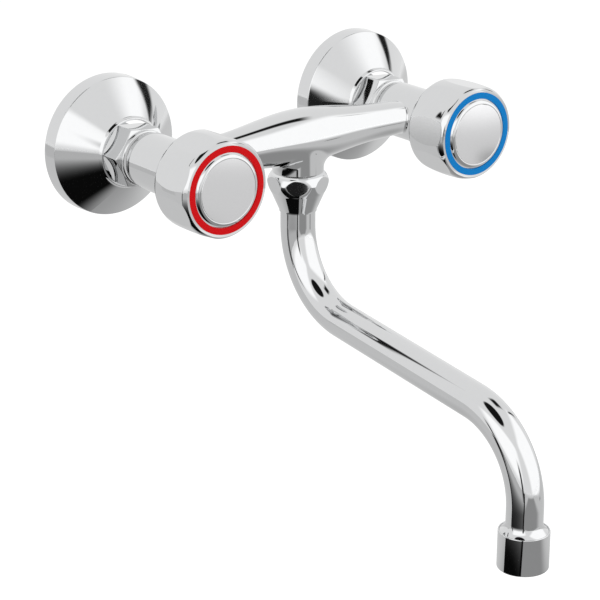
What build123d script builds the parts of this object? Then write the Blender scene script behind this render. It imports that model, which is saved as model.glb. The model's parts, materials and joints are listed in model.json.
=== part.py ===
from build123d import *

import os
from math import cos, radians, sin

# Wall-mounted two-handle kitchen faucet with a swivelling S-spout.
#
# Millimetres, +Z up, +Y into the wall, -Y towards the user. The origin is the midpoint
# between the two wall inlets, on the finished face of the wall (y = 0).
#
# Almost every piece is turned, so each is drawn as (radius, station) points in a frame
# that has its axis as z. The frame of a valve stands on the wall and its z axis points at
# the user, so a station there is a distance from the wall. The frames of the spout and of
# its mouth stand at the height of the valves and point down, so a station is a depth.

# ---------------------------------------------------------------- driving dimensions
INLET_SPACING = 150.0  # centre to centre of the wall inlets, and of the valves
ECCENTRIC_RISE = 8.0  # the valves stand this far above the wall inlets
BODY_CENTRE = 53.4  # distance of the bridge and of the spout's axis from the wall
THREAD_R = 10.48  # G 1/2 major radius, on the unions, the headworks and the spout nut
RUNNING = 0.05  # radial clearance of a piece that turns, slides or screws in
FACE_GAP = 0.1  # axial clearance between faces that move past each other

# Wall flanges
FLANGE_R = 33.8
FLANGE_RIM = 8.15  # height of the steep rim, up to the crease
FLANGE_TAPER = 0.4
FLANGE_DEPTH = 22.4
FLANGE_SHEET = 1.0
FLANGE_LIP = 1.3

# Eccentric unions
STUD_LENGTH = 14.0  # reach of the stud behind the wall's face
STUD_CHAMFER = 1.0
WEB_START = 1.0
WEB_END = 12.0
WEB_R = 12.2
WRENCH_FLATS = 24.0
WRENCH_END = 16.0
UNION_END = 29.0
UNION_BORE_R = 7.0
INLET_BORE_END = 9.0
OUTLET_BORE_START = 5.0

# Union nuts, washers and nipples
NUT_FLATS = 27.0
NUT_CORNER_R = 15.55
NUT_START = 20.6
NUT_HEX_END = 32.9
NUT_END = 35.0
NUT_TURN = -5.0  # angle of a corner of the hexagon from +X
WASHER_END = 31.0
COLLAR_R = 9.2
COLLAR_END = 32.4
NIPPLE_R = 7.5
NIPPLE_END = 43.4
NIPPLE_KEY = 10.0  # across the flats of its hexagon socket
KEY_END = 37.0

# Body
BARREL_R = 13.5
BARREL_START = 36.4
BARREL_END = 70.4
ARM_FILLET = 1.5
BRIDGE_SECTIONS = [  # distance from the middle, radius, height above the valve axes
    (66, 7.4, 0.5),
    (42, 9.3, 1.4),
    (22, 11.6, 1.8),
    (0, 13.3, 2.0),
]
CHANNEL_R = 4.5
SEAT_FACE = 47.6
SEAT_HOLE_R = 5.0
SEAT_R = 6.2
CHAMBER_R = 9.0
CHAMBER_START = 46.6
HEADWORK_START = 57.0
BOSS_R = 12.4
BOSS_END = 15.2
BOSS_FILLET = 6.0
SPIGOT_END = 25.4
SPIGOT_BORE_R = 8.0
SPIGOT_BORE_START = 8.0
OUTLET_R = 5.5

# Headworks
BONNET_R = 12.2
BONNET_BACK = 57.5
BONNET_SEAT = 71.2
BONNET_COLLAR_END = 73.4
BONNET_FLATS = 19.0
BONNET_HEX_END = 78.0
BONNET_NECK_R = 7.2
BONNET_END = 80.6
GUIDE_R = 7.45  # the piston's stem, with two flats against turning
GUIDE_FLATS = 12.6
GUIDE_DEPTH = 12.7
SHAFT_R = 4.9
SPINDLE_THREAD_R = 4.0
SPINDLE_COLLAR_R = 6.2
SPINDLE_COLLAR = (68.2, 70.1)
SEAL_GROOVES = (72.5, 76.2)
SEAL_GROOVE_R = 3.7
SEAL_GROOVE_WIDTH = 1.5
SEAL_SQUEEZE = 0.02  # what a seal stays clear of the bore round it
CLIP_GROOVE = (80.8, 81.8)
CLIP_GROOVE_R = 4.2
CLIP_R = 6.3
CLIP_SHEET = 0.9
SQUARE = 6.4
SPINDLE_END = 88.4
PISTON_BACK = 49.6
PISTON_HEAD_R = 7.3
PISTON_SHOULDER = 52.4
PISTON_STEM = 11.0
CUP_FLOOR = 50.65
WASHER_SCREW_R = 1.5
WASHER_SCREW_END = 52.0

# Handles
HANDLE_BACK = 71.7
HANDLE_FRONT = 97.5
HANDLE_FLATS = 44.7
HANDLE_HOLLOW_R = 18.5
FACETS = 8
FACET_TURNS = {"hot": 0.0, "cold": 15.0}  # angle of a ridge from +X, valve closed
HUB_R = 9.0
HUB_START = 82.4
WEB_BACK = 88.5
SCREW_SEAT = 89.6
SCREW_R = 2.0
CLIP_POCKET_R = 6.5
CAP_POCKET_R = 17.0
CAP_POCKET = 93.0
RING_POCKET = 95.4
RING_R = 20.4
RING_BORE_R = 17.75
CAP_R = 16.3
CAP_BEVEL_R = 14.7
CAP_FACE = 99.2

# Spout joint, as depths below the valve axes
SPOUT_NUT_TOP = 16.0
SPOUT_NUT_R = 14.9
SPOUT_NUT_WAIST = 19.8
SPOUT_NUT_SHOULDER = 30.0
SPOUT_NUT_END = 34.8
SPOUT_NUT_TURN = 38.0
SLEEVE_TOP = 8.2
SLEEVE_COLLAR_R = 10.2
SLEEVE_END = 37.0
SLEEVE_GROOVES = (12.0, 18.0)
SLEEVE_GROOVE_R = 6.9

# Spout
TUBE_R = 8.5
TUBE_BORE_R = 7.5
TUBE_TOP = 27.6
TUBE_END = 147.0
BEND_START = 42.0
BEND_R = 40.0
BEND_ANGLE = 83.4
REACH = 163.7  # from the spout's axis to its mouth

# Mouth of the spout
FLARE_TOP = 140.5
FLARE_END = 142.9
MOUTH_THREAD_R = 10.9  # M22 thread of the outlet collar
MOUTH_BORE_R = 9.4
MOUTH_END = 153.0
GASKET_BORE_R = 8.0
GASKET_END = 154.6
HOUSING_TOP = 143.0
HOUSING_END = 161.0
HOUSING_R = 11.8
INSERT_STEP = 156.2
INSERT_R = 9.9
INSERT_END = 160.0
INSERT_PLATE = (156.0, 158.4)
MESH_END = 160.3


# ---------------------------------------------------------------- frames and helpers
def valve_frame(x):
    """Frame on the wall's face at a valve's axis: z points at the user and y up."""
    return Plane(origin=(x, 0, ECCENTRIC_RISE), x_dir=(1, 0, 0), z_dir=(0, -1, 0))


def downward_frame(distance):
    """Frame at the height of the valves, at a distance from the wall: z points down."""
    return Plane(origin=(0, -distance, ECCENTRIC_RISE), x_dir=(1, 0, 0), z_dir=(0, 0, -1))


def half_plane(frame):
    """Plane for the half section of a turned piece: x is the radius and y the station."""
    return Plane(origin=frame.origin, x_dir=frame.x_dir, z_dir=-frame.y_dir)


def spin(frame, section, mode=Mode.ADD):
    """Revolve a half section round the frame's axis."""
    revolve(section.sketch, axis=Axis(frame.origin, frame.z_dir), mode=mode)


def turn(frame, profile, mode=Mode.ADD):
    """Add, cut or intersect a turned solid, from its (radius, station) corners."""
    with BuildSketch(half_plane(frame)) as section:
        with BuildLine():
            Polyline(*profile, close=True)
        make_face()
    spin(frame, section, mode)


def rod(frame, radius, start, end, mode=Mode.ADD):
    """Add or cut a cylinder between two stations."""
    with BuildSketch(frame.offset(start)) as disc:
        Circle(radius)
    extrude(disc.sketch, amount=end - start, mode=mode)


def ring(frame, outer, inner, start, end, mode=Mode.ADD):
    """Add or cut a plain ring between two stations."""
    turn(frame, [(inner, start), (outer, start), (outer, end), (inner, end)], mode)


def prism(frame, flats, sides, corner_angle, start, end, mode=Mode.ADD):
    """Add, cut or intersect a regular prism, by its size across the flats."""
    with BuildSketch(frame.offset(start)) as outline:
        RegularPolygon(flats / 2, sides, major_radius=False, rotation=corner_angle)
    extrude(outline.sketch, amount=end - start, mode=mode)


def flatted_rod(frame, radius, flats, start, length, mode=Mode.ADD):
    """Add or cut a cylinder with two parallel flats."""
    with BuildSketch(frame.offset(start)) as outline:
        Circle(radius)
        Rectangle(flats, 3 * radius, mode=Mode.INTERSECT)
    extrude(outline.sketch, amount=length, mode=mode)


def square_end(frame, start, end, mode=Mode.ADD):
    """Add or cut the spindle's square, whose corners are turned down."""
    with BuildSketch(frame.offset(start)) as outline:
        Rectangle(SQUARE, SQUARE)
        Circle(CLIP_GROOVE_R, mode=Mode.INTERSECT)
    extrude(outline.sketch, amount=end - start, mode=mode)


def o_rings(frame, grooves, groove_r, bore_r):
    """Add a round seal in the middle of each groove, between its floor and the bore."""
    section_r = (bore_r - SEAL_SQUEEZE - groove_r) / 2
    for start in grooves:
        with BuildSketch(half_plane(frame)) as section:
            with Locations((groove_r + section_r, start + SEAL_GROOVE_WIDTH / 2)):
                Circle(section_r)
        spin(frame, section)


# ---------------------------------------------------------------- wall connection
def wall_flange(valve):
    """Pressed bell that covers the hole in the wall and slides over the union nut."""
    lip_r = NUT_CORNER_R + RUNNING
    crease_r = FLANGE_R - FLANGE_TAPER
    with BuildPart() as flange:
        turn(
            valve,
            [
                (FLANGE_R - FLANGE_SHEET, 0),
                (FLANGE_R, 0),
                (crease_r, FLANGE_RIM),
                (lip_r + 1.6, FLANGE_DEPTH - FLANGE_LIP),
                (lip_r + 0.9, FLANGE_DEPTH),
                (lip_r, FLANGE_DEPTH),
                (lip_r, FLANGE_DEPTH - FLANGE_LIP),
                (crease_r - FLANGE_SHEET, FLANGE_RIM - FLANGE_SHEET / 2),
            ],
        )
    return flange


def eccentric_union(valve):
    """Offset union: a stud in the wall fitting and a second thread in line with the valve."""
    inlet = Plane(valve.origin - valve.y_dir * ECCENTRIC_RISE, valve.x_dir, valve.z_dir)
    root_r = THREAD_R - STUD_CHAMFER
    with BuildPart() as union:
        turn(
            inlet,
            [
                (0, -STUD_LENGTH),
                (root_r, -STUD_LENGTH),
                (THREAD_R, STUD_CHAMFER - STUD_LENGTH),
                (THREAD_R, WEB_START),
                (0, WEB_START),
            ],
        )
        with BuildSketch(valve.offset(WEB_START)) as web:
            with Locations((0, -ECCENTRIC_RISE / 2)):
                SlotCenterToCenter(ECCENTRIC_RISE, 2 * WEB_R, rotation=90)
        extrude(web.sketch, amount=WEB_END - WEB_START)
        prism(valve, WRENCH_FLATS, 6, 30, WEB_END, WRENCH_END)
        turn(
            valve,
            [
                (0, WRENCH_END),
                (THREAD_R, WRENCH_END),
                (THREAD_R, UNION_END - STUD_CHAMFER),
                (root_r, UNION_END),
                (0, UNION_END),
            ],
        )
        rod(inlet, UNION_BORE_R, -STUD_LENGTH, INLET_BORE_END, Mode.SUBTRACT)
        rod(valve, UNION_BORE_R, OUTLET_BORE_START, UNION_END, Mode.SUBTRACT)
    return union


def union_nut(valve):
    """Hexagon nut with turned corners, a round collar and a shoulder round the nipple."""
    flat_r = NUT_FLATS / 2
    with BuildPart() as nut:
        prism(valve, NUT_FLATS, 6, NUT_TURN, NUT_START, NUT_HEX_END)
        turn(
            valve,
            [
                (0, NUT_START),
                (NUT_CORNER_R - 0.6, NUT_START),
                (NUT_CORNER_R, NUT_START + 0.6),
                (NUT_CORNER_R, NUT_HEX_END - 0.9),
                (flat_r + 0.1, NUT_HEX_END),
                (0, NUT_HEX_END),
            ],
            Mode.INTERSECT,
        )
        turn(
            valve,
            [
                (0, NUT_HEX_END - 1),
                (flat_r - 0.2, NUT_HEX_END - 1),
                (flat_r - 0.2, NUT_END - 0.5),
                (flat_r - 0.7, NUT_END),
                (0, NUT_END),
            ],
        )
        rod(valve, THREAD_R + RUNNING, NUT_START, COLLAR_END, Mode.SUBTRACT)
        rod(valve, NIPPLE_R + RUNNING, COLLAR_END, NUT_END, Mode.SUBTRACT)
    return nut


def union_washer(valve):
    """Flat sealing washer between the eccentric union and the nipple."""
    with BuildPart() as washer:
        ring(valve, COLLAR_R, SEAT_HOLE_R + 0.6, UNION_END, WASHER_END)
    return washer


def inlet_nipple(valve):
    """Collared nipple that the nut pulls on, screwed into the body by its hexagon socket."""
    with BuildPart() as nipple:
        turn(
            valve,
            [
                (0, WASHER_END),
                (COLLAR_R, WASHER_END),
                (COLLAR_R, COLLAR_END),
                (NIPPLE_R, COLLAR_END),
                (NIPPLE_R, NIPPLE_END - 0.5),
                (NIPPLE_R - 0.5, NIPPLE_END),
                (0, NIPPLE_END),
            ],
        )
        prism(valve, NIPPLE_KEY, 6, 0, WASHER_END, KEY_END, Mode.SUBTRACT)
        rod(valve, SEAT_HOLE_R, WASHER_END, NIPPLE_END, Mode.SUBTRACT)
    return nipple


# ---------------------------------------------------------------- body
def bridge_stations():
    """Sections of the bridge in order, from the left barrel to the right one."""
    left = [(-x, radius, height) for x, radius, height in BRIDGE_SECTIONS if x > 0]
    return left + list(reversed(BRIDGE_SECTIONS))


def mixer_body(valves, outlet):
    """One casting: two valve barrels, the swelling bridge between them and the outlet boss."""
    channel_end = INLET_SPACING / 2 - CHAMBER_R + 1
    with BuildPart() as body:
        for x, radius, height in bridge_stations():
            centre = (x, -BODY_CENTRE, ECCENTRIC_RISE + height)
            with BuildSketch(Plane(centre, x_dir=(0, 1, 0), z_dir=(1, 0, 0))):
                Circle(radius)
        loft()
        rod(outlet, BOSS_R, 0, BOSS_END)
        fillet(body.edges(Select.NEW), BOSS_FILLET)
        for valve in valves:
            turn(
                valve,
                [
                    (0, BARREL_START),
                    (BARREL_R - 0.8, BARREL_START),
                    (BARREL_R, BARREL_START + 2),
                    (BARREL_R, BARREL_END - 0.5),
                    (BARREL_R - 0.5, BARREL_END),
                    (0, BARREL_END),
                ],
            )
            fillet(body.edges(Select.NEW).filter_by(GeomType.BSPLINE), ARM_FILLET)
        rod(outlet, THREAD_R, BOSS_END, SPIGOT_END)

        # Waterways: inlet, seat and chamber of each valve, then the bridge and the outlet
        for valve in valves:
            rod(valve, NIPPLE_R, BARREL_START, NIPPLE_END, Mode.SUBTRACT)
            rod(valve, SEAT_HOLE_R, NIPPLE_END, SEAT_FACE, Mode.SUBTRACT)
            rod(valve, CHAMBER_R, CHAMBER_START, HEADWORK_START, Mode.SUBTRACT)
            ring(valve, SEAT_R, SEAT_HOLE_R, CHAMBER_START, SEAT_FACE)
            rod(valve, THREAD_R + RUNNING, HEADWORK_START, BARREL_END, Mode.SUBTRACT)
        bridge_axis = Plane((0, -BODY_CENTRE, ECCENTRIC_RISE), x_dir=(0, 1, 0), z_dir=(1, 0, 0))
        rod(bridge_axis, CHANNEL_R, -channel_end, channel_end, Mode.SUBTRACT)
        rod(outlet, OUTLET_R, 0, SPIGOT_BORE_START, Mode.SUBTRACT)
        rod(outlet, SPIGOT_BORE_R, SPIGOT_BORE_START, SPIGOT_END, Mode.SUBTRACT)
    return body


# ---------------------------------------------------------------- headworks
def headwork_bonnet(valve):
    """Screwed insert that closes the barrel, guides the piston and carries the spindle."""
    with BuildPart() as bonnet:
        turn(
            valve,
            [
                (0, BONNET_BACK),
                (THREAD_R - 0.6, BONNET_BACK),
                (THREAD_R, BONNET_BACK + 0.6),
                (THREAD_R, BONNET_SEAT),
                (BONNET_R, BONNET_SEAT),
                (BONNET_R, BONNET_COLLAR_END),
                (BONNET_NECK_R, BONNET_COLLAR_END),
                (BONNET_NECK_R, BONNET_END),
                (0, BONNET_END),
            ],
        )
        prism(valve, BONNET_FLATS, 6, 0, BONNET_COLLAR_END, BONNET_HEX_END)
        rod(valve, SHAFT_R + RUNNING, BONNET_BACK, BONNET_END, Mode.SUBTRACT)
        guide_r = GUIDE_R + RUNNING
        guide_flats = GUIDE_FLATS + 2 * RUNNING
        flatted_rod(valve, guide_r, guide_flats, BONNET_BACK, GUIDE_DEPTH, Mode.SUBTRACT)
    return bonnet


def bonnet_washer(valve):
    """Fibre washer under the collar of the headwork."""
    with BuildPart() as washer:
        ring(valve, BONNET_R, THREAD_R + RUNNING, BARREL_END, BONNET_SEAT)
    return washer


def spindle(valve):
    """Turned spindle: piston thread, bearing collar, two seal grooves and a square end."""
    collar_start, collar_end = SPINDLE_COLLAR
    clip_start, clip_end = CLIP_GROOVE
    with BuildPart() as shaft:
        turn(
            valve,
            [
                (0, HEADWORK_START),
                (SPINDLE_THREAD_R - 0.5, HEADWORK_START),
                (SPINDLE_THREAD_R, HEADWORK_START + 0.5),
                (SPINDLE_THREAD_R, collar_start),
                (SPINDLE_COLLAR_R, collar_start),
                (SPINDLE_COLLAR_R, collar_end),
                (SHAFT_R, collar_end),
                (SHAFT_R, clip_start),
                (CLIP_GROOVE_R, clip_start),
                (CLIP_GROOVE_R, clip_end),
                (0, clip_end),
            ],
        )
        for start in SEAL_GROOVES:
            ring(valve, SHAFT_R, SEAL_GROOVE_R, start, start + SEAL_GROOVE_WIDTH, Mode.SUBTRACT)
        square_end(valve, clip_end, SPINDLE_END)
        rod(valve, SCREW_R, BONNET_HEX_END, SPINDLE_END, Mode.SUBTRACT)
    return shaft


def spindle_seals(valve):
    """Two O-rings in the spindle's grooves."""
    with BuildPart() as seals:
        o_rings(valve, SEAL_GROOVES, SEAL_GROOVE_R, SHAFT_R + RUNNING)
    return seals


def circlip(valve):
    """Open spring ring that keeps the spindle in the headwork."""
    with BuildPart() as clip:
        with BuildSketch(valve.offset(CLIP_GROOVE[0] + RUNNING)) as outline:
            Circle(CLIP_R)
            Circle(CLIP_GROOVE_R, mode=Mode.SUBTRACT)
            with Locations((0, -CLIP_R)):
                Rectangle(3.4, 5, mode=Mode.SUBTRACT)
        extrude(outline.sketch, amount=CLIP_SHEET)
    return clip


def valve_piston(valve):
    """Piston with two flats, which the spindle's thread draws towards the user."""
    stem_end = PISTON_SHOULDER + PISTON_STEM
    with BuildPart() as piston:
        rod(valve, PISTON_HEAD_R, PISTON_BACK, PISTON_SHOULDER)
        flatted_rod(valve, GUIDE_R, GUIDE_FLATS, PISTON_SHOULDER, PISTON_STEM)
        rod(valve, SPINDLE_THREAD_R + RUNNING, PISTON_SHOULDER + 0.2, stem_end, Mode.SUBTRACT)
        rod(valve, SEAT_R, PISTON_BACK, CUP_FLOOR, Mode.SUBTRACT)
        rod(valve, WASHER_SCREW_R, CUP_FLOOR, WASHER_SCREW_END, Mode.SUBTRACT)
    return piston


def seat_washer(valve):
    """Rubber washer that closes on the seat."""
    with BuildPart() as washer:
        ring(valve, SEAT_R, WASHER_SCREW_R, SEAT_FACE + RUNNING, CUP_FLOOR)
    return washer


def washer_screw(valve):
    """Slotted screw that holds the rubber washer to the piston."""
    under_head = SEAT_FACE + RUNNING
    head_top = under_head - WASHER_SCREW_R
    with BuildPart() as screw:
        rod(valve, 2 * WASHER_SCREW_R, head_top, under_head)
        rod(valve, WASHER_SCREW_R, under_head, WASHER_SCREW_END)
        with BuildSketch(valve.offset(head_top)) as slot:
            Rectangle(5 * WASHER_SCREW_R, 0.8)
        extrude(slot.sketch, amount=0.8, mode=Mode.SUBTRACT)
    return screw


# ---------------------------------------------------------------- handles
def handle(valve, ridge_angle):
    """Barrel-shaped handle whose flats cut oval facets, hollow behind and dished in front."""
    with BuildPart() as grip:
        with BuildSketch(half_plane(valve)) as barrel:
            with BuildLine():
                ThreePointArc((20.4, HANDLE_BACK), (22, 72.6), (22.6, 74.4))
                ThreePointArc((22.6, 74.4), (23.45, 85.5), (23.1, 93.2))
                ThreePointArc((23.1, 93.2), (22.45, 96.2), (20.9, HANDLE_FRONT))
                Polyline((20.9, HANDLE_FRONT), (0, HANDLE_FRONT), (0, HANDLE_BACK), (20.4, HANDLE_BACK))
            make_face()
        spin(valve, barrel)
        prism(valve, HANDLE_FLATS, FACETS, ridge_angle, HANDLE_BACK, HANDLE_FRONT, Mode.INTERSECT)
        rod(valve, RING_R + RUNNING, RING_POCKET, HANDLE_FRONT, Mode.SUBTRACT)
        rod(valve, CAP_POCKET_R, CAP_POCKET, RING_POCKET, Mode.SUBTRACT)
        rod(valve, CLIP_POCKET_R, SCREW_SEAT, CAP_POCKET, Mode.SUBTRACT)
        rod(valve, HANDLE_HOLLOW_R, HANDLE_BACK, WEB_BACK, Mode.SUBTRACT)
        rod(valve, HUB_R, HUB_START, WEB_BACK)
        square_end(valve, HUB_START, SPINDLE_END, Mode.SUBTRACT)
        rod(valve, SCREW_R + 0.2, SPINDLE_END, SCREW_SEAT, Mode.SUBTRACT)
    return grip


def handle_screw(valve):
    """Cross-slotted screw that draws the handle onto the spindle, under the cap."""
    head_r = 1.8 * SCREW_R
    head_end = SCREW_SEAT + 2.3
    with BuildPart() as screw:
        turn(
            valve,
            [
                (0, BONNET_END),
                (SCREW_R, BONNET_END),
                (SCREW_R, SCREW_SEAT),
                (head_r, SCREW_SEAT),
                (head_r, head_end - 0.7),
                (head_r - 0.8, head_end),
                (0, head_end),
            ],
        )
        with BuildSketch(valve.offset(head_end)) as cross:
            Rectangle(4, 0.8)
            Rectangle(0.8, 4)
        extrude(cross.sketch, amount=-1.2, mode=Mode.SUBTRACT)
    return screw


def index_ring(valve):
    """Coloured ring let into the face of the handle."""
    with BuildPart() as colour:
        ring(valve, RING_R, RING_BORE_R, RING_POCKET, HANDLE_FRONT - 0.1)
    return colour


def handle_cap(valve):
    """Satin cap with a rounded shoulder, clipped into the handle by its spigot."""
    spigot_r = CLIP_POCKET_R - RUNNING
    hollow_end = 96
    with BuildPart() as cap:
        with BuildSketch(half_plane(valve)) as section:
            with BuildLine():
                Polyline((0, CAP_FACE), (0, CAP_POCKET), (CAP_R, CAP_POCKET), (CAP_R, 96.8))
                ThreePointArc((CAP_R, 96.8), (15.85, 98.1), (CAP_BEVEL_R, CAP_FACE - 0.5))
                TangentArc((0, CAP_FACE), (CAP_BEVEL_R, CAP_FACE - 0.5), tangent=(1, 0))
            make_face()
        spin(valve, section)
        rod(valve, CAP_R - 2.3, CAP_POCKET, hollow_end, Mode.SUBTRACT)
        ring(valve, spigot_r, spigot_r - 1.3, SCREW_SEAT + 0.8, hollow_end + 0.2)
    return cap


# ---------------------------------------------------------------- spout joint
def spout_nut(outlet):
    """Hexagon nut with a domed lower half, whose flats show as eye-shaped facets."""
    with BuildPart() as nut:
        prism(outlet, NUT_FLATS, 6, SPOUT_NUT_TURN, SPOUT_NUT_TOP, SPOUT_NUT_END)
        with BuildSketch(half_plane(outlet)) as envelope:
            with BuildLine():
                Polyline((0, SPOUT_NUT_END), (0, SPOUT_NUT_TOP), (13.2, SPOUT_NUT_TOP))
                ThreePointArc((13.2, SPOUT_NUT_TOP), (14.4, 18.1), (SPOUT_NUT_R, SPOUT_NUT_WAIST))
                ThreePointArc((SPOUT_NUT_R, SPOUT_NUT_WAIST), (14.3, 22.5), (12.9, 25.5))
                Polyline((12.9, 25.5), (9.1, SPOUT_NUT_END - 0.7), (9.1, SPOUT_NUT_END), (0, SPOUT_NUT_END))
            make_face()
        spin(outlet, envelope, Mode.INTERSECT)
        rod(outlet, THREAD_R + RUNNING, SPOUT_NUT_TOP, SPOUT_NUT_SHOULDER, Mode.SUBTRACT)
        rod(outlet, TUBE_R + 2 * RUNNING, SPOUT_NUT_SHOULDER, SPOUT_NUT_END, Mode.SUBTRACT)
    return nut


def spout_sleeve(outlet):
    """Brass end of the spout: sealed spigot, bearing collar and stub inside the tube."""
    spigot_r = SPIGOT_BORE_R - RUNNING
    collar_top = SPIGOT_END + FACE_GAP
    with BuildPart() as sleeve:
        turn(
            outlet,
            [
                (OUTLET_R, SLEEVE_TOP),
                (spigot_r - 0.5, SLEEVE_TOP),
                (spigot_r, SLEEVE_TOP + 0.5),
                (spigot_r, collar_top),
                (SLEEVE_COLLAR_R, collar_top),
                (SLEEVE_COLLAR_R, TUBE_TOP),
                (TUBE_BORE_R, TUBE_TOP),
                (TUBE_BORE_R, SLEEVE_END),
                (OUTLET_R, SLEEVE_END),
            ],
        )
        for start in SLEEVE_GROOVES:
            ring(outlet, spigot_r, SLEEVE_GROOVE_R, start, start + SEAL_GROOVE_WIDTH, Mode.SUBTRACT)
    return sleeve


def spout_seals(outlet):
    """Two O-rings in the grooves of the spout's sleeve."""
    with BuildPart() as seals:
        o_rings(outlet, SLEEVE_GROOVES, SLEEVE_GROOVE_R, SPIGOT_BORE_R)
    return seals


def slip_ring(outlet):
    """Split plastic ring on which the spout's collar turns in the nut."""
    with BuildPart() as split_ring:
        with BuildSketch(outlet.offset(TUBE_TOP)) as outline:
            Circle(SLEEVE_COLLAR_R)
            Circle(TUBE_R, mode=Mode.SUBTRACT)
            with Locations((SLEEVE_COLLAR_R, 0)):
                Rectangle(5, 1.2, mode=Mode.SUBTRACT)
        extrude(outline.sketch, amount=SPOUT_NUT_SHOULDER - FACE_GAP - TUBE_TOP)
    return split_ring


# ---------------------------------------------------------------- spout
def spout_tube(outlet):
    """Bent tube: down out of the nut, forward in a slightly falling arm, and down again."""
    side_view = Plane(origin=outlet.origin, x_dir=outlet.y_dir, z_dir=outlet.x_dir)
    bend = radians(BEND_ANGLE)
    arm_length = (REACH - 2 * BEND_R * (1 - cos(bend))) / sin(bend)
    with BuildPart() as tube:
        with BuildLine(side_view) as path:
            upright = Line((0, TUBE_TOP), (0, BEND_START))
            first_bend = JernArc(upright @ 1, upright % 1, BEND_R, -BEND_ANGLE)
            arm = Line(first_bend @ 1, first_bend @ 1 + (first_bend % 1) * arm_length)
            second_bend = JernArc(arm @ 1, arm % 1, BEND_R, BEND_ANGLE)
            Line(second_bend @ 1, (REACH, TUBE_END))
        with BuildSketch(outlet.offset(TUBE_TOP)):
            Circle(TUBE_R)
            Circle(TUBE_BORE_R, mode=Mode.SUBTRACT)
        sweep(path=path.wires()[0])
    return tube


def outlet_collar(mouth):
    """Flared and threaded collar brazed round the end of the tube."""
    with BuildPart() as collar:
        turn(
            mouth,
            [
                (TUBE_R, FLARE_TOP),
                (TUBE_R + 0.3, FLARE_TOP),
                (MOUTH_THREAD_R, FLARE_END),
                (MOUTH_THREAD_R, MOUTH_END),
                (MOUTH_BORE_R, MOUTH_END),
                (MOUTH_BORE_R, TUBE_END),
                (TUBE_R, TUBE_END),
            ],
        )
    return collar


def aerator_housing(mouth):
    """Plain round shell screwed over the collar, with a step for the insert and a bottom lip."""
    thread_r = MOUTH_THREAD_R + RUNNING
    lip_r = INSERT_R - 0.8
    with BuildPart() as housing:
        turn(
            mouth,
            [
                (HOUSING_R - 0.5, HOUSING_TOP),
                (HOUSING_R - 0.1, HOUSING_TOP),
                (HOUSING_R, HOUSING_TOP + 0.3),
                (HOUSING_R, HOUSING_END - 0.5),
                (HOUSING_R - 0.5, HOUSING_END),
                (lip_r, HOUSING_END),
                (lip_r, MESH_END),
                (INSERT_R, MESH_END),
                (INSERT_R, INSERT_STEP),
                (thread_r, INSERT_STEP),
                (thread_r, HOUSING_TOP + 0.8),
            ],
        )
    return housing


def aerator_gasket(mouth):
    """Flat gasket between the collar and the insert."""
    with BuildPart() as gasket:
        ring(mouth, MOUTH_THREAD_R, GASKET_BORE_R, MOUTH_END, GASKET_END)
    return gasket


def aerator_insert(mouth):
    """Flanged plastic disc with rings of small holes that break up the flow."""
    plate_start, plate_end = INSERT_PLATE
    with BuildPart() as insert:
        rod(mouth, MOUTH_THREAD_R, GASKET_END, INSERT_STEP)
        rod(mouth, INSERT_R, INSERT_STEP, INSERT_END)
        rod(mouth, INSERT_R - 2.3, GASKET_END, plate_start, Mode.SUBTRACT)
        rod(mouth, INSERT_R - 1.3, plate_end, INSERT_END, Mode.SUBTRACT)
        with BuildSketch(mouth.offset(plate_start)) as holes:
            for circle_r, count in ((3, 6), (6, 12)):
                with PolarLocations(circle_r, count):
                    Circle(0.7)
        extrude(holes.sketch, amount=plate_end - plate_start, mode=Mode.SUBTRACT)
    return insert


def aerator_mesh(mouth):
    """Thin outlet screen with hexagonal openings."""
    with BuildPart() as mesh:
        rod(mouth, INSERT_R, INSERT_END, MESH_END)
        with BuildSketch(mouth.offset(INSERT_END)) as openings:
            with HexLocations(1.1, 7, 7):
                RegularPolygon(0.95, 6, major_radius=False)
            Circle(INSERT_R - 1.5, mode=Mode.INTERSECT)
        extrude(openings.sketch, amount=MESH_END - INSERT_END, mode=Mode.SUBTRACT)
    return mesh


# ---------------------------------------------------------------- all pieces
outlet = downward_frame(BODY_CENTRE)
mouth = downward_frame(BODY_CENTRE + REACH)
valves = {
    "hot": valve_frame(-INLET_SPACING / 2),
    "cold": valve_frame(INLET_SPACING / 2),
}

pieces = {
    "mixer_body": mixer_body(list(valves.values()), outlet),
    "spout_nut": spout_nut(outlet),
    "spout_sleeve": spout_sleeve(outlet),
    "spout_seals": spout_seals(outlet),
    "slip_ring": slip_ring(outlet),
    "spout_tube": spout_tube(outlet),
    "outlet_collar": outlet_collar(mouth),
    "aerator_housing": aerator_housing(mouth),
    "aerator_gasket": aerator_gasket(mouth),
    "aerator_insert": aerator_insert(mouth),
    "aerator_mesh": aerator_mesh(mouth),
}
for side, valve in valves.items():
    pieces |= {
        f"{side}_wall_flange": wall_flange(valve),
        f"{side}_eccentric_union": eccentric_union(valve),
        f"{side}_union_nut": union_nut(valve),
        f"{side}_union_washer": union_washer(valve),
        f"{side}_inlet_nipple": inlet_nipple(valve),
        f"{side}_bonnet": headwork_bonnet(valve),
        f"{side}_bonnet_washer": bonnet_washer(valve),
        f"{side}_spindle": spindle(valve),
        f"{side}_spindle_seals": spindle_seals(valve),
        f"{side}_circlip": circlip(valve),
        f"{side}_piston": valve_piston(valve),
        f"{side}_seat_washer": seat_washer(valve),
        f"{side}_washer_screw": washer_screw(valve),
        f"{side}_handle": handle(valve, FACET_TURNS[side]),
        f"{side}_handle_screw": handle_screw(valve),
        f"{side}_index_ring": index_ring(valve),
        f"{side}_cap": handle_cap(valve),
    }

os.makedirs("parts", exist_ok=True)
for name, piece in pieces.items():
    piece.part.label = name
    export_step(piece.part, f"parts/{name}.step")
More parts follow.
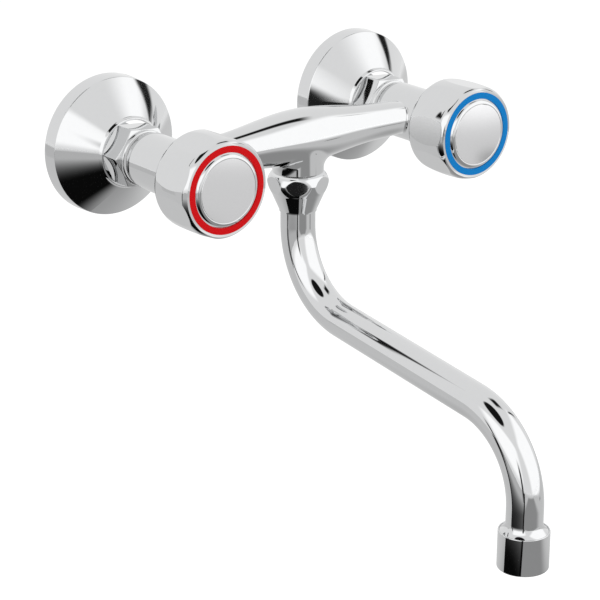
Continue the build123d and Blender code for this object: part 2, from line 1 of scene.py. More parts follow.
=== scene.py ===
"""Looks of the wall-mounted two-handle kitchen faucet, laid out as an add-on and run as a script.

Metres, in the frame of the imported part: +Z up, +Y into the wall, -Y towards the user, hot
valve at -X. Turned pieces are drawn as (radius, station) sections in millimetres. A station
of a valve is a distance from the wall; one of the spout is a depth below the valve axes.
"""

import json
from math import cos, hypot, pi, radians, sin, tan

import bmesh
import bpy
import numpy as np
import openvdb
from bpy.props import FloatProperty, FloatVectorProperty, IntProperty, PointerProperty
from mathutils import Euler, Matrix, Vector

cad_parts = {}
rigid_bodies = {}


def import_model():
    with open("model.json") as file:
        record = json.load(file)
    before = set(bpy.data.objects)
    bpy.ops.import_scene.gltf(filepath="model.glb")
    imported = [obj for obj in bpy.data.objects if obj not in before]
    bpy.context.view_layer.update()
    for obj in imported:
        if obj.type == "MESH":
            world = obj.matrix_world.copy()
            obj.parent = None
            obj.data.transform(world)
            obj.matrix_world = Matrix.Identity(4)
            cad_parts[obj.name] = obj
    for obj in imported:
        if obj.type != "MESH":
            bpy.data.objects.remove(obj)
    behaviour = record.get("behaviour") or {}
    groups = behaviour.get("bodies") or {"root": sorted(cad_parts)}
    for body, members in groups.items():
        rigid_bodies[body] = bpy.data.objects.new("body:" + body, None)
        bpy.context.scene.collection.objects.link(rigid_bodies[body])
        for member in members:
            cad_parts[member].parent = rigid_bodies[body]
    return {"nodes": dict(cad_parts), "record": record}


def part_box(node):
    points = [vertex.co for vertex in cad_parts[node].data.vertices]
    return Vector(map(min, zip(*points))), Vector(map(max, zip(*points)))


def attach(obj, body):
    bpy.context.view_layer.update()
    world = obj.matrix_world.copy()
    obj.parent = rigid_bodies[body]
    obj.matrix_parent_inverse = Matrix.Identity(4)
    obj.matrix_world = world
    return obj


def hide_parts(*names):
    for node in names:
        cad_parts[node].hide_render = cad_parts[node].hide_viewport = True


bl_info = {
    "name": "Two handle kitchen faucet",
    "version": (1, 0, 0),
    "blender": (4, 5, 0),
    "location": "3D View > Sidebar > Faucet",
    "description": "Makes the visible pieces, finishes and studio of a wall-mounted kitchen faucet",
    "category": "Object",
}

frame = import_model()

MM = 0.001
SIDES = {"hot": -1, "cold": 1}


# ---------------------------------------------------------------- places read from the frame
def span(node):
    """Width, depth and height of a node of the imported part."""
    low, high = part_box(node)
    return high - low


def middle(node):
    """Centre of a node's box."""
    low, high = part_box(node)
    return (low + high) / 2


VALVE_X = middle("cold_wall_flange").x
VALVE_Z = middle("cold_wall_flange").z
SPOUT_Y = middle("spout_nut").y
MOUTH_Y = middle("aerator_housing").y


def stand(origin, axis, sideways):
    """Matrix of a stand: its z runs along a piece's axis and its x points sideways."""
    z, x = Vector(axis), Vector(sideways)
    matrix = Matrix((x, z.cross(x), z)).transposed().to_4x4()
    matrix.translation = origin
    return matrix


def valve_stand(side):
    """Stand on the wall at a valve: z towards the user, x to the right, y up."""
    return stand((SIDES[side] * VALVE_X, 0, VALVE_Z), (0, -1, 0), (1, 0, 0))


def wall_inlet_stand(side):
    """Stand on the wall at an inlet, which is lower than its valve."""
    return stand((SIDES[side] * VALVE_X, 0, 0), (0, -1, 0), (1, 0, 0))


SPOUT_STAND = stand((0, SPOUT_Y, VALVE_Z), (0, 0, -1), (1, 0, 0))
MOUTH_STAND = stand((0, MOUTH_Y, VALVE_Z), (0, 0, -1), (1, 0, 0))


# ---------------------------------------------------------------- settings a user would change
def length(name, description, millimetres):
    """A length that is written in millimetres and kept in metres."""
    return FloatProperty(
        name=name, description=description, default=millimetres * MM, unit="LENGTH", precision=5
    )


def turn_angle(name, description, degrees):
    """An angle that is written in degrees and kept in radians."""
    return FloatProperty(
        name=name, description=description, default=radians(degrees), subtype="ANGLE"
    )


def colour(name, description, default):
    """A colour of a finish, in linear light."""
    return FloatVectorProperty(
        name=name, description=description, default=default, subtype="COLOR", size=3, min=0, max=1
    )


class WallSizes(bpy.types.PropertyGroup):
    flange_radius: length(
        "Flange radius", "Radius of the flange at the wall", span("hot_wall_flange").x / 2 / MM
    )
    flange_depth: length(
        "Flange depth", "Reach of the flange from the wall", span("hot_wall_flange").y / MM
    )
    rim_height: length("Rim height", "Height of the steep rim, up to the crease", 8.15)
    lip_radius: length("Lip radius", "Bore of the lip that slides over the union nut", 15.6)
    thread_radius: length("Thread radius", "Major radius of the G 1/2 threads", 10.48)
    thread_pitch: length("Thread pitch", "Pitch of the G 1/2 threads", 1.814)
    thread_depth: length("Thread depth", "Depth of the G 1/2 threads", 1.16)
    nut_flats: length("Nut flats", "Width of the union nut across its flats", 27.0)
    nut_turn: turn_angle("Nut turn", "Angle of a corner of the union nut from the horizontal", -5.0)


class BodySizes(bpy.types.PropertyGroup):
    barrel_radius: length("Barrel radius", "Radius of the two valve barrels", 13.5)
    barrel_start: length("Barrel start", "Distance of the barrel's back end from the wall", 36.4)
    barrel_end: length("Barrel end", "Distance of the barrel's front end from the wall", 70.4)
    boss_radius: length("Boss radius", "Radius of the outlet boss", 12.4)
    boss_depth: length("Boss depth", "Depth of the boss's end face below the valve axes", 15.2)
    boss_fillet: length("Boss fillet", "Radius of the fillet between bridge and boss", 6.0)
    arm_fillet: length("Arm fillet", "Radius of the fillet between bridge and barrel", 1.5)
    cell: length("Mesh cell", "Size of the faces of the casting's mesh", 0.55)


class SpoutSizes(bpy.types.PropertyGroup):
    nut_flats: length("Nut flats", "Width of the spout nut across its flats", 27.0)
    nut_turn: turn_angle("Nut turn", "Angle of a corner of the spout nut from the right", 38.0)
    tube_radius: length("Tube radius", "Outer radius of the spout tube", 8.5)
    tube_wall: length("Tube wall", "Wall thickness of the spout tube", 1.0)
    bend_start: length("Bend start", "Depth at which the first bend starts", 42.0)
    bend_radius: length("Bend radius", "Radius of the tube's middle line in both bends", 40.0)
    bend_angle: turn_angle("Bend angle", "Angle that each bend turns through", 83.4)
    housing_radius: length("Aerator radius", "Outer radius of the aerator housing", 11.8)
    hole_radius: length("Hole radius", "Radius of the holes in the aerator insert", 0.7)
    screen_pitch: length("Screen pitch", "Distance between two wires of the outlet screen", 1.1)
    screen_wire: length("Screen wire", "Thickness of the wires of the outlet screen", 0.2)


class HandleSizes(bpy.types.PropertyGroup):
    across_flats: length("Across flats", "Distance between two opposite facets of a handle", 44.7)
    facets: IntProperty(
        name="Facets", description="Number of facets round a handle", default=8, min=3
    )
    hot_ridge: turn_angle("Hot ridge", "Angle of a ridge of the hot handle from the right", 0.0)
    cold_ridge: turn_angle("Cold ridge", "Angle of a ridge of the cold handle from the right", 15.0)
    ring_radius: length("Ring radius", "Outer radius of the index ring", 20.4)
    ring_bore: length("Ring bore", "Inner radius of the index ring", 17.35)
    cap_radius: length("Cap radius", "Outer radius of the cap's shoulder", 16.9)
    cap_face_radius: length("Cap face radius", "Radius of the satin face inside the shoulder", 14.7)


class FinishColours(bpy.types.PropertyGroup):
    chrome: colour("Chrome", "Polished plating", (0.67, 0.675, 0.68))
    satin: colour("Satin chrome", "Blasted face of the caps", (0.90, 0.90, 0.90))
    red: colour("Hot red", "Index ring of the hot handle", (0.70, 0.001, 0.004))
    blue: colour("Cold blue", "Index ring of the cold handle", (0.0, 0.225, 0.63))
    brass: colour("Brass", "Machined brass inside", (0.70, 0.53, 0.27))
    steel: colour("Steel", "Screws and spring rings", (0.55, 0.55, 0.56))
    # thread: painted shade, a near-black colour standing in for the shade in the gap under the
    # boss, the groove behind the barrels and on the inlet nipples
    thread: colour("Thread", "Painted shade in the gap under the boss, the groove behind the barrels and on the inlet nipples", (0.02, 0.018, 0.015))
    rubber: colour("Rubber", "Seals and washers", (0.02, 0.02, 0.022))
    fibre: colour("Fibre", "Pressed fibre washers", (0.30, 0.06, 0.03))
    white: colour("White plastic", "Slip ring and aerator insert", (0.80, 0.80, 0.78))


class StudioSettings(bpy.types.PropertyGroup):
    camera_place: FloatVectorProperty(
        name="Camera place", description="Place of the camera in the frame of the part",
        default=(-0.64274, -0.86824, 0.30642), subtype="TRANSLATION", unit="LENGTH", size=3,
    )
    camera_azimuth: turn_angle("Camera azimuth", "Turn of the view from the wall's normal", -38.33)
    camera_elevation: turn_angle("Camera elevation", "Angle at which the camera looks down", 20.1)
    camera_roll: turn_angle("Camera roll", "Turn of the picture about its middle", -0.2)
    focal_length: FloatProperty(
        name="Focal length", description="Focal length on a sensor 36 mm wide", default=135.2,
        unit="CAMERA",
    )
    floor_drop: length("Floor drop", "Distance of the floor below the valve axes", 420.0)
    floor_lift: FloatProperty(
        name="Floor lift", description="Glow that makes the lit floor white where it is seen",
        default=0.45,
    )
    world_light: FloatProperty(
        name="World light", description="Level at which the white world lights the faucet",
        default=0.7,
    )


class FaucetSettings(bpy.types.PropertyGroup):
    wall: PointerProperty(type=WallSizes)
    body: PointerProperty(type=BodySizes)
    spout: PointerProperty(type=SpoutSizes)
    handle: PointerProperty(type=HandleSizes)
    finish: PointerProperty(type=FinishColours)
    studio: PointerProperty(type=StudioSettings)


# ---------------------------------------------------------------- sections of turned pieces
def arc_through(start, via, end, steps=24):
    """Points of the circle arc through three points, without its start."""
    (ax, ay), (bx, by), (cx, cy) = start, via, end
    det = 2 * (ax * (by - cy) + bx * (cy - ay) + cx * (ay - by))
    a2, b2, c2 = ax * ax + ay * ay, bx * bx + by * by, cx * cx + cy * cy
    centre = complex(
        (a2 * (by - cy) + b2 * (cy - ay) + c2 * (ay - by)) / det,
        (a2 * (cx - bx) + b2 * (ax - cx) + c2 * (bx - ax)) / det,
    )
    first, last = complex(ax, ay) - centre, complex(cx, cy) - centre
    sweep = np.angle(last / first)
    return [
        (point.real, point.imag)
        for point in (centre + first * np.exp(1j * sweep * k / steps) for k in range(1, steps + 1))
    ]


def rounded(corners, steps=6):
    """Closed section whose corners (radius, station, rounding) are rounded where one is given."""
    points = []
    count = len(corners)
    for i, corner in enumerate(corners):
        here = Vector(corner[:2])
        if len(corner) < 3:
            points.append(tuple(here))
            continue
        back = Vector(corners[i - 1][:2]) - here
        ahead = Vector(corners[(i + 1) % count][:2]) - here
        half = back.angle(ahead) / 2
        run = corner[2] / tan(half)
        start, end = here + back.normalized() * run, here + ahead.normalized() * run
        inward = (back.normalized() + ahead.normalized()).normalized()
        centre = here + inward * (corner[2] / sin(half))
        via = centre - inward * corner[2]
        points.append(tuple(start))
        points += arc_through(tuple(start), tuple(via), tuple(end), steps)
    return points


def spaced(section, step):
    """The same section with points added, so that none is further than a step from the next."""
    points = []
    for (r0, s0), (r1, s1) in zip(section, section[1:] + section[:1]):
        pieces = max(1, int(np.ceil(hypot(r1 - r0, s1 - s0) / step)))
        if r0 == r1 == 0:
            pieces = 1
        for k in range(pieces):
            points.append((r0 + (r1 - r0) * k / pieces, s0 + (s1 - s0) * k / pieces))
    return points


def soft_minimum(a, b, softness):
    """The smaller of two sizes, with a rounded change from one to the other."""
    overlap = np.maximum(softness - np.abs(a - b), 0) / softness
    return np.minimum(a, b) - overlap * overlap * softness / 4


def flats(across, sides, corner):
    """Rule for the radius of a regular prism at an angle, with its size across the flats."""
    face = 2 * pi / sides

    def radius(angles):
        """Radius of the prism at each angle."""
        offset = (angles - corner) % face - face / 2
        return across / 2 / np.cos(offset)

    return radius


# ---------------------------------------------------------------- meshes
def piece_of(name, mesh, finish):
    """Link a mesh as a piece with one finish."""
    piece = bpy.data.objects.new(name, mesh)
    mesh.materials.clear()
    mesh.materials.append(finish)
    bpy.context.scene.collection.objects.link(piece)
    return piece


def settle(mesh, sharp=35):
    """Merge doubles, point the faces outwards and shade smooth up to an angle in degrees."""
    work = bmesh.new()
    work.from_mesh(mesh)
    bmesh.ops.remove_doubles(work, verts=work.verts, dist=1e-6)
    bmesh.ops.dissolve_degenerate(work, edges=work.edges, dist=1e-7)
    bmesh.ops.recalc_face_normals(work, faces=work.faces)
    work.to_mesh(mesh)
    work.free()
    mesh.shade_smooth()
    mesh.set_sharp_from_angle(angle=radians(sharp))


def turned_mesh(name, section, across=None, softness=0.4, around=192):
    """Mesh of a closed section in millimetres turned about z, its radius held in by a rule."""
    radii, stations = np.array(section).T
    angles = np.arange(around) * 2 * pi / around
    reach = np.repeat(radii[:, None], around, axis=1)
    if across:
        reach = soft_minimum(reach, across(angles)[None, :], softness)
    height = np.repeat(stations[:, None], around, axis=1)
    points = np.stack([reach * np.cos(angles), reach * np.sin(angles), height], axis=-1) * MM
    row, column = np.meshgrid(np.arange(len(section)), np.arange(around), indexing="ij")
    next_row, next_column = (row + 1) % len(section), (column + 1) % around
    faces = np.stack(
        [row * around + column, row * around + next_column,
         next_row * around + next_column, next_row * around + column], axis=-1
    ).reshape(-1, 4)
    on_axis = ((radii[row] == 0) & (radii[next_row] == 0)).reshape(-1)
    mesh = bpy.data.meshes.new(name)
    mesh.from_pydata(points.reshape(-1, 3), [], faces[~on_axis])
    return mesh


def turned_piece(name, place, section, finish, **rule):
    """Finished turned piece on a stand."""
    mesh = turned_mesh(name, section, **rule)
    mesh.transform(place)
    settle(mesh)
    return piece_of(name, mesh, finish)


def stands_for(piece, body, slot, *nodes):
    """The piece rides on a body, and the nodes named are hidden; the slot is not used."""
    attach(piece, body)
    for node in nodes:
        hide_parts(node)


# ---------------------------------------------------------------- node trees
def add_node(tree, kind, inputs=None, **settings):
    """Add a node with its settings, and link or set its inputs."""
    node = tree.nodes.new(kind)
    for setting, value in settings.items():
        setattr(node, setting, value)
    for socket, value in (inputs or {}).items():
        if isinstance(value, bpy.types.NodeSocket):
            tree.links.new(value, node.inputs[socket])
        else:
            node.inputs[socket].default_value = value
    return node


def calc(tree, operation, a, b=0.0):
    """Add a calculation with two values."""
    return add_node(tree, "ShaderNodeMath", {0: a, 1: b}, operation=operation).outputs[0]


def mapped(tree, value, old, new, smooth=False):
    """Move a value from one range to another, at an even or a smooth rate."""
    return add_node(
        tree, "ShaderNodeMapRange", {"Value": value, 1: old[0], 2: old[1], 3: new[0], 4: new[1]},
        interpolation_type="SMOOTHSTEP" if smooth else "LINEAR",
    ).outputs[0]


def vector_of(tree, x=0.0, y=0.0, z=0.0):
    """Join three values to a vector."""
    return add_node(tree, "ShaderNodeCombineXYZ", {0: x, 1: y, 2: z}).outputs[0]


def parted(tree, vector):
    """The three values of a vector."""
    return add_node(tree, "ShaderNodeSeparateXYZ", {0: vector}).outputs


def size_of(tree, vector):
    """Length of a vector."""
    return add_node(
        tree, "ShaderNodeVectorMath", {0: vector}, operation="LENGTH"
    ).outputs["Value"]


def off_axis(tree, x, y):
    """Distance from the z axis."""
    squares = [calc(tree, "MULTIPLY", side, side) for side in (x, y)]
    return calc(tree, "SQRT", calc(tree, "ADD", *squares))


def above(tree, value, limit):
    """Whether a value is above a limit."""
    return add_node(
        tree, "FunctionNodeCompare", {0: value, 1: limit},
        data_type="FLOAT", operation="GREATER_THAN",
    ).outputs[0]


def moved(tree, geometry, offset, selection=True):
    """Geometry whose selected points are moved by an offset."""
    return add_node(
        tree, "GeometryNodeSetPosition",
        {"Geometry": geometry, "Selection": selection, "Offset": offset},
    ).outputs[0]


def laid_on(tree, points, instance):
    """The same shape laid on each point."""
    return add_node(
        tree, "GeometryNodeInstanceOnPoints", {"Points": points, "Instance": instance}
    ).outputs[0]


def shape_tree(name, sizes):
    """Geometry tree with named inputs for its sizes; gives the tree and its input sockets."""
    tree = bpy.data.node_groups.new(name, "GeometryNodeTree")
    tree.is_modifier = True
    tree.interface.new_socket("Geometry", in_out="INPUT", socket_type="NodeSocketGeometry")
    for label, value in sizes.items():
        kind = "NodeSocketInt" if isinstance(value, int) else "NodeSocketFloat"
        tree.interface.new_socket(label, in_out="INPUT", socket_type=kind).default_value = value
    tree.interface.new_socket("Finish", in_out="INPUT", socket_type="NodeSocketMaterial")
    tree.interface.new_socket("Geometry", in_out="OUTPUT", socket_type="NodeSocketGeometry")
    return tree, tree.nodes.new("NodeGroupInput").outputs


def end_tree(tree, geometry, finish):
    """End a tree in Realize Instances and Set Material."""
    real = add_node(tree, "GeometryNodeRealizeInstances", {"Geometry": geometry})
    coated = add_node(
        tree, "GeometryNodeSetMaterial", {"Geometry": real.outputs[0], "Material": finish}
    )
    add_node(tree, "NodeGroupOutput", {"Geometry": coated.outputs[0]})


def evaluated_mesh(name, piece):
    """Plain mesh of an object with its modifiers applied; the object is then removed."""
    evaluated = piece.evaluated_get(bpy.context.evaluated_depsgraph_get())
    mesh = bpy.data.meshes.new_from_object(evaluated)
    mesh.name = name
    bpy.data.objects.remove(piece)
    if not mesh.polygons:
        raise RuntimeError(f"no faces were made for {name}")
    return mesh


def grown_mesh(name, host, tree, sizes, finish):
    """Plain mesh that a tree makes from a host object, which is then removed."""
    bpy.context.scene.collection.objects.link(host)
    modifier = host.modifiers.new(tree.name, "NODES")
    modifier.node_group = tree
    for item in tree.interface.items_tree:
        if item.in_out == "INPUT" and item.name in sizes:
            modifier[item.identifier] = sizes[item.name]
        if item.in_out == "INPUT" and item.name == "Finish":
            modifier[item.identifier] = finish
    return evaluated_mesh(name, host)


# ---------------------------------------------------------------- finishes
def finish_material(name, colour, metallic, roughness, grain, bump, gloss=0.5, mottle=0.965):
    """Principled finish whose roughness and relief vary by two sizes of grain, in metres."""
    material = bpy.data.materials.get(name)
    if material:
        return material
    material = bpy.data.materials.new(name)
    material.use_nodes = True
    tree = material.node_tree
    shader = tree.nodes["Principled BSDF"]
    shader.inputs["Metallic"].default_value = metallic
    shader.inputs["Specular IOR Level"].default_value = gloss
    place = add_node(tree, "ShaderNodeTexCoord").outputs["Object"]
    broad, fine = (
        add_node(
            tree, "ShaderNodeTexNoise",
            {"Vector": place, "Scale": 1 / size, "Detail": 3.0, "Roughness": 0.55},
        ).outputs["Fac"]
        for size in grain
    )
    tree.links.new(mapped(tree, broad, (0.3, 0.7), roughness), shader.inputs["Roughness"])
    shade = add_node(
        tree, "ShaderNodeMix",
        {0: fine, 6: (*[c * mottle for c in colour], 1), 7: (*colour, 1)}, data_type="RGBA",
    )
    tree.links.new(shade.outputs[2], shader.inputs["Base Color"])
    relief = add_node(tree, "ShaderNodeBump", {"Height": fine, "Strength": 1.0, "Distance": bump})
    tree.links.new(relief.outputs[0], shader.inputs["Normal"])
    return material


def chrome_finish(colours):
    """Mirror-bright plating with a trace of polishing haze."""
    return finish_material(
        "polished_chrome", colours.chrome, 1.0, (0.02, 0.045), (30 * MM, 2 * MM), 0.0003 * MM
    )


def satin_finish(colours):
    """Fine-blasted plating of the cap's face."""
    return finish_material(
        "satin_chrome", colours.satin, 0.5, (0.6, 0.7), (8 * MM, 0.9 * MM), 0.06 * MM, mottle=0.6
    )


def ring_finish(colours, side):
    """Moulded plastic of an index ring."""
    name, tint = {
        "hot": ("hot_red_plastic", colours.red), "cold": ("cold_blue_plastic", colours.blue)
    }[side]
    return finish_material(name, tint, 0.0, (0.38, 0.5), (5 * MM, 0.4 * MM), 0.002 * MM, gloss=0.08)


def brass_finish(colours):
    """Machined brass of the pieces inside."""
    return finish_material(
        "machined_brass", colours.brass, 1.0, (0.22, 0.34), (6 * MM, 0.5 * MM), 0.003 * MM
    )


def steel_finish(colours):
    """Bright steel of screws and spring rings."""
    return finish_material(
        "bright_steel", colours.steel, 1.0, (0.2, 0.32), (4 * MM, 0.4 * MM), 0.002 * MM
    )


def painted_shade_finish(colours):
    """Near-black finish that paints the shade of the gap under the boss, the groove behind the
    barrels and the inlet nipples.
    """
    return finish_material(
        "oiled_thread", colours.thread, 1.0, (0.5, 0.65), (2 * MM, 0.3 * MM), 0.004 * MM
    )


def rubber_finish(colours):
    """Black sealing rubber."""
    return finish_material(
        "sealing_rubber", colours.rubber, 0.0, (0.55, 0.75), (3 * MM, 0.3 * MM), 0.01 * MM
    )


def fibre_finish(colours):
    """Red-brown pressed fibre of flat washers."""
    return finish_material(
        "pressed_fibre", colours.fibre, 0.0, (0.7, 0.9), (2 * MM, 0.25 * MM), 0.03 * MM
    )


def white_finish(colours):
    """White moulded plastic."""
    return finish_material(
        "white_moulding", colours.white, 0.0, (0.35, 0.5), (4 * MM, 0.5 * MM), 0.003 * MM
    )


# ---------------------------------------------------------------- wall connection
def flange_section(wall):
    """Pressed bell: steep rim, rounded crease, straight cone and a small rolled lip."""
    outer, depth = wall.flange_radius / MM, wall.flange_depth / MM
    rim, lip = wall.rim_height / MM, wall.lip_radius / MM
    crease = outer - 0.4
    return rounded(
        [
            (outer - 1.0, 0),
            (outer, 0, 0.25),
            (crease, rim, 0.7),
            (lip + 1.6, depth - 1.3, 1.0),
            (lip + 0.9, depth, 0.4),
            (lip, depth, 0.15),
            (lip, depth - 1.3),
            (crease - 1.0, rim - 0.5, 0.4),
        ]
    )


def make_flanges(settings):
    """Two wall flanges."""
    chrome = chrome_finish(settings.finish)
    for side in SIDES:
        piece = turned_piece(
            f"{side}_flange_bell", valve_stand(side), flange_section(settings.wall), chrome,
            around=256,
        )
        stands_for(piece, "fixed", "chrome", f"{side}_wall_flange")


def union_nut_section():
    """Hexagon with turned corners, round collar in front and the bore for the union's thread."""
    return spaced(
        rounded(
            [
                (14.95, 20.6, 0.2),
                (15.55, 21.2, 0.2),
                (15.55, 32.0, 0.25),
                (13.6, 32.9, 0.1),
                (13.3, 32.9, 0.1),
                (13.3, 34.6, 0.3),
                (12.8, 35.0, 0.2),
                (7.55, 35.0),
                (7.55, 32.4),
                (10.53, 32.4),
                (10.53, 20.6),
            ],
            steps=4,
        ),
        0.28,
    )


def make_union_nuts(settings):
    """Two union nuts."""
    chrome = chrome_finish(settings.finish)
    rule = flats(settings.wall.nut_flats / MM, 6, settings.wall.nut_turn)
    for side in SIDES:
        piece = turned_piece(
            f"{side}_hexagon_nut", valve_stand(side), union_nut_section(), chrome,
            across=rule, softness=0.35, around=360,
        )
        stands_for(piece, "fixed", "chrome", f"{side}_union_nut")


def thread_tree():
    """Tree that cuts a right-hand thread into the outside of a sleeve about z."""
    tree, given = shape_tree(
        "Cut thread",
        {"Start": 0.0, "End": 10 * MM, "Pitch": 1.8 * MM, "Depth": 1.1 * MM,
         "Major radius": 10 * MM},
    )
    x, y, z = parted(tree, add_node(tree, "GeometryNodeInputPosition").outputs[0])
    radius = off_axis(tree, x, y)
    turns = calc(tree, "DIVIDE", calc(tree, "ARCTAN2", y, x), 2 * pi)
    advance = calc(tree, "DIVIDE", z, given["Pitch"])
    phase = calc(tree, "FRACT", calc(tree, "SUBTRACT", advance, turns))
    swing = calc(tree, "SUBTRACT", calc(tree, "MULTIPLY", phase, 2.0), 1.0)
    groove = mapped(tree, calc(tree, "ABSOLUTE", swing), (0.12, 0.88), (1.0, 0.0))
    run_in = calc(tree, "DIVIDE", calc(tree, "SUBTRACT", z, given["Start"]), given["Pitch"])
    run_out = calc(tree, "DIVIDE", calc(tree, "SUBTRACT", given["End"], z), given["Pitch"])
    faded = mapped(tree, calc(tree, "MINIMUM", run_in, run_out), (0.0, 1.0), (0.0, 1.0))
    cut = calc(tree, "MULTIPLY", calc(tree, "MULTIPLY", groove, faded), given["Depth"])
    floor = calc(tree, "SUBTRACT", given["Major radius"], given["Depth"])
    inwards = calc(tree, "DIVIDE", calc(tree, "MULTIPLY", cut, -1.0), radius)
    offset = vector_of(
        tree, calc(tree, "MULTIPLY", x, inwards), calc(tree, "MULTIPLY", y, inwards)
    )
    threaded = moved(tree, given["Geometry"], offset, selection=above(tree, radius, floor))
    end_tree(tree, threaded, given["Finish"])
    return tree


STUD_THREAD, OUTLET_THREAD = (-14.0, 0.9), (16.1, 29.0)  # stations of the union's threads
STUD_TURNING, OUTLET_TURNING = (-14.1, 1.1), (15.9, 29.1)  # stations of the turned-down runs
SLEEVE_WALL, ROWS_IN_A_TURN = 0.25, 11  # wall under a thread's root and its rows of points


def threaded_sleeve(name, place, start, end, wall, finish):
    """Sleeve with a thread cut by the tree; its start has a chamfer."""
    major, pitch, depth = wall.thread_radius / MM, wall.thread_pitch / MM, wall.thread_depth / MM
    bore = major - depth - SLEEVE_WALL
    section = spaced(
        [(bore, start), (major - 1.0, start), (major, start + 1.0), (major, end), (bore, end)],
        pitch / ROWS_IN_A_TURN,
    )
    host = bpy.data.objects.new(name, turned_mesh(name, section, around=128))
    sizes = {
        "Start": (start - 0.6) * MM, "End": (end + 0.2) * MM, "Pitch": wall.thread_pitch,
        "Depth": wall.thread_depth, "Major radius": wall.thread_radius,
    }
    mesh = grown_mesh(name, host, thread_tree(), sizes, finish)
    mesh.transform(place)
    settle(mesh, sharp=45)
    return piece_of(name, mesh, finish)


def slimmed_union(side, wall, finish):
    """Copy of the eccentric union whose thread cylinders are turned down inside the threads."""
    mesh = frame["nodes"][f"{side}_eccentric_union"].data.copy()
    mesh.name = f"{side}_union_web"
    root = wall.thread_radius - wall.thread_depth - 0.1 * MM
    for place, (start, end) in (
        (wall_inlet_stand(side), STUD_TURNING), (valve_stand(side), OUTLET_TURNING)
    ):
        back = place.inverted()
        for vertex in mesh.vertices:
            local = back @ vertex.co
            reach = hypot(local.x, local.y)
            if start < local.z / MM < end and root < reach < wall.thread_radius + 0.01 * MM:
                local.xy *= root / reach
                vertex.co = place @ local
    settle(mesh, sharp=30)
    return piece_of(mesh.name, mesh, finish)


def make_eccentric_unions(settings):
    """Two eccentric unions with their threads."""
    chrome = chrome_finish(settings.finish)
    for side in SIDES:
        web = slimmed_union(side, settings.wall, chrome)
        stands_for(web, "fixed", "chrome", f"{side}_eccentric_union")
        for name, place, run in (
            (f"{side}_stud_thread", wall_inlet_stand(side), STUD_THREAD),
            (f"{side}_outlet_thread", valve_stand(side), OUTLET_THREAD),
        ):
            thread = threaded_sleeve(name, place, *run, settings.wall, chrome)
            stands_for(thread, "fixed", "chrome")


# ---------------------------------------------------------------- body
BRIDGE_SECTIONS = [  # distance from the middle, radius, height above the valve axes
    (66, 7.4, 0.5),
    (42, 9.3, 1.4),
    (22, 11.6, 1.8),
    (0, 13.3, 2.0),
]
BRIDGE_HALF = BRIDGE_SECTIONS[0][0] * MM
SPIGOT_RADIUS, SPIGOT_DEPTH = 10.48 * MM, 25.4 * MM  # threaded spigot inside the spout nut
BARREL_CHAMFER = (0.8 * MM, 2.0 * MM)  # width and length of the chamfer behind a barrel
PAINTED_SHADE_REACH = 0.6 * MM  # reach of the near-black painted shade from the back end of a barrel
SURFACE_STEPS = 4  # corrections that draw the mesh onto the surface
ON_AXIS = 1e-9  # keeps distances from an axis above zero, so that they can divide


def bridge_rules():
    """Smooth rules for the bridge's radius and height, from the square of the distance."""
    stations, radii, heights = np.array(BRIDGE_SECTIONS).T * MM
    return np.polyfit(stations**2, radii, 3), np.polyfit(stations**2, heights, 3)


def rolled_fillet(a, b, cosine, radius):
    """Join of two surfaces with a fillet, from the distances and the cosine of the normals."""
    cosine = np.clip(cosine, -0.95, 0.999)
    u, v = radius - a, radius - b
    between = (u > cosine * v) & (v > cosine * u)
    reach = np.sqrt(np.maximum((u * u + v * v - 2 * u * v * cosine) / (1 - cosine * cosine), 0))
    return np.where(between, radius - reach, np.minimum(a, b))


def rolled_edge(a, b, radius):
    """Common part of two solids with a rounded edge, from the distances to them."""
    u, v = np.maximum(radius + a, 0), np.maximum(radius + b, 0)
    return np.minimum(-radius, np.maximum(a, b)) + np.hypot(u, v)


def boss_distance(across, z, body):
    """Distance to the outlet boss, whose edges are rounded."""
    boss = rolled_edge(across - body.boss_radius, -z - body.boss_depth, 0.3 * MM)
    return rolled_edge(boss, z, 0.1 * MM)


def barrel_distance(ring, out, body):
    """Distance to a valve barrel with a chamfer behind and rounded edges at both ends."""
    wide, long = BARREL_CHAMFER
    chamfer = (ring - body.barrel_radius + wide) * long - (out - body.barrel_start) * wide
    barrel = rolled_edge(ring - body.barrel_radius, chamfer / hypot(wide, long), 0.8 * MM)
    barrel = rolled_edge(barrel, body.barrel_start - out, 0.3 * MM)
    return rolled_edge(barrel, out - body.barrel_end, 0.5 * MM)


def casting_distance(points, body, rules):
    """Distance of points to the surface of the casting, negative inside."""
    x, y, z = points[..., 0], points[..., 1] - SPOUT_Y, points[..., 2] - VALVE_Z
    radius_rule, height_rule = rules
    along = np.minimum(x * x, BRIDGE_HALF**2)
    rise = z - np.polyval(height_rule, along)
    girth = np.hypot(y, rise) + ON_AXIS
    across = np.hypot(x, y) + ON_AXIS
    ring = np.hypot(np.abs(x) - VALVE_X, z) + ON_AXIS
    bridge = np.maximum(girth - np.polyval(radius_rule, along), np.abs(x) - BRIDGE_HALF)
    boss = boss_distance(across, z, body)
    flow = rolled_fillet(bridge, boss, (y / across) * (y / girth), body.boss_fillet)
    spigot = np.maximum(across - SPIGOT_RADIUS, np.maximum(z, -z - SPIGOT_DEPTH))
    barrel = barrel_distance(ring, -points[..., 1], body)
    lean = (z / ring) * (rise / girth)
    return rolled_fillet(np.minimum(flow, spigot), barrel, lean, body.arm_fillet)


def casting_slopes(points, body, rules):
    """Outward directions of the casting's surface at points."""
    reach = 0.02 * MM
    steps = np.eye(3) * reach
    rises = [
        casting_distance(points + step, body, rules) - casting_distance(points - step, body, rules)
        for step in steps
    ]
    return np.stack(rises, axis=-1) / (2 * reach)


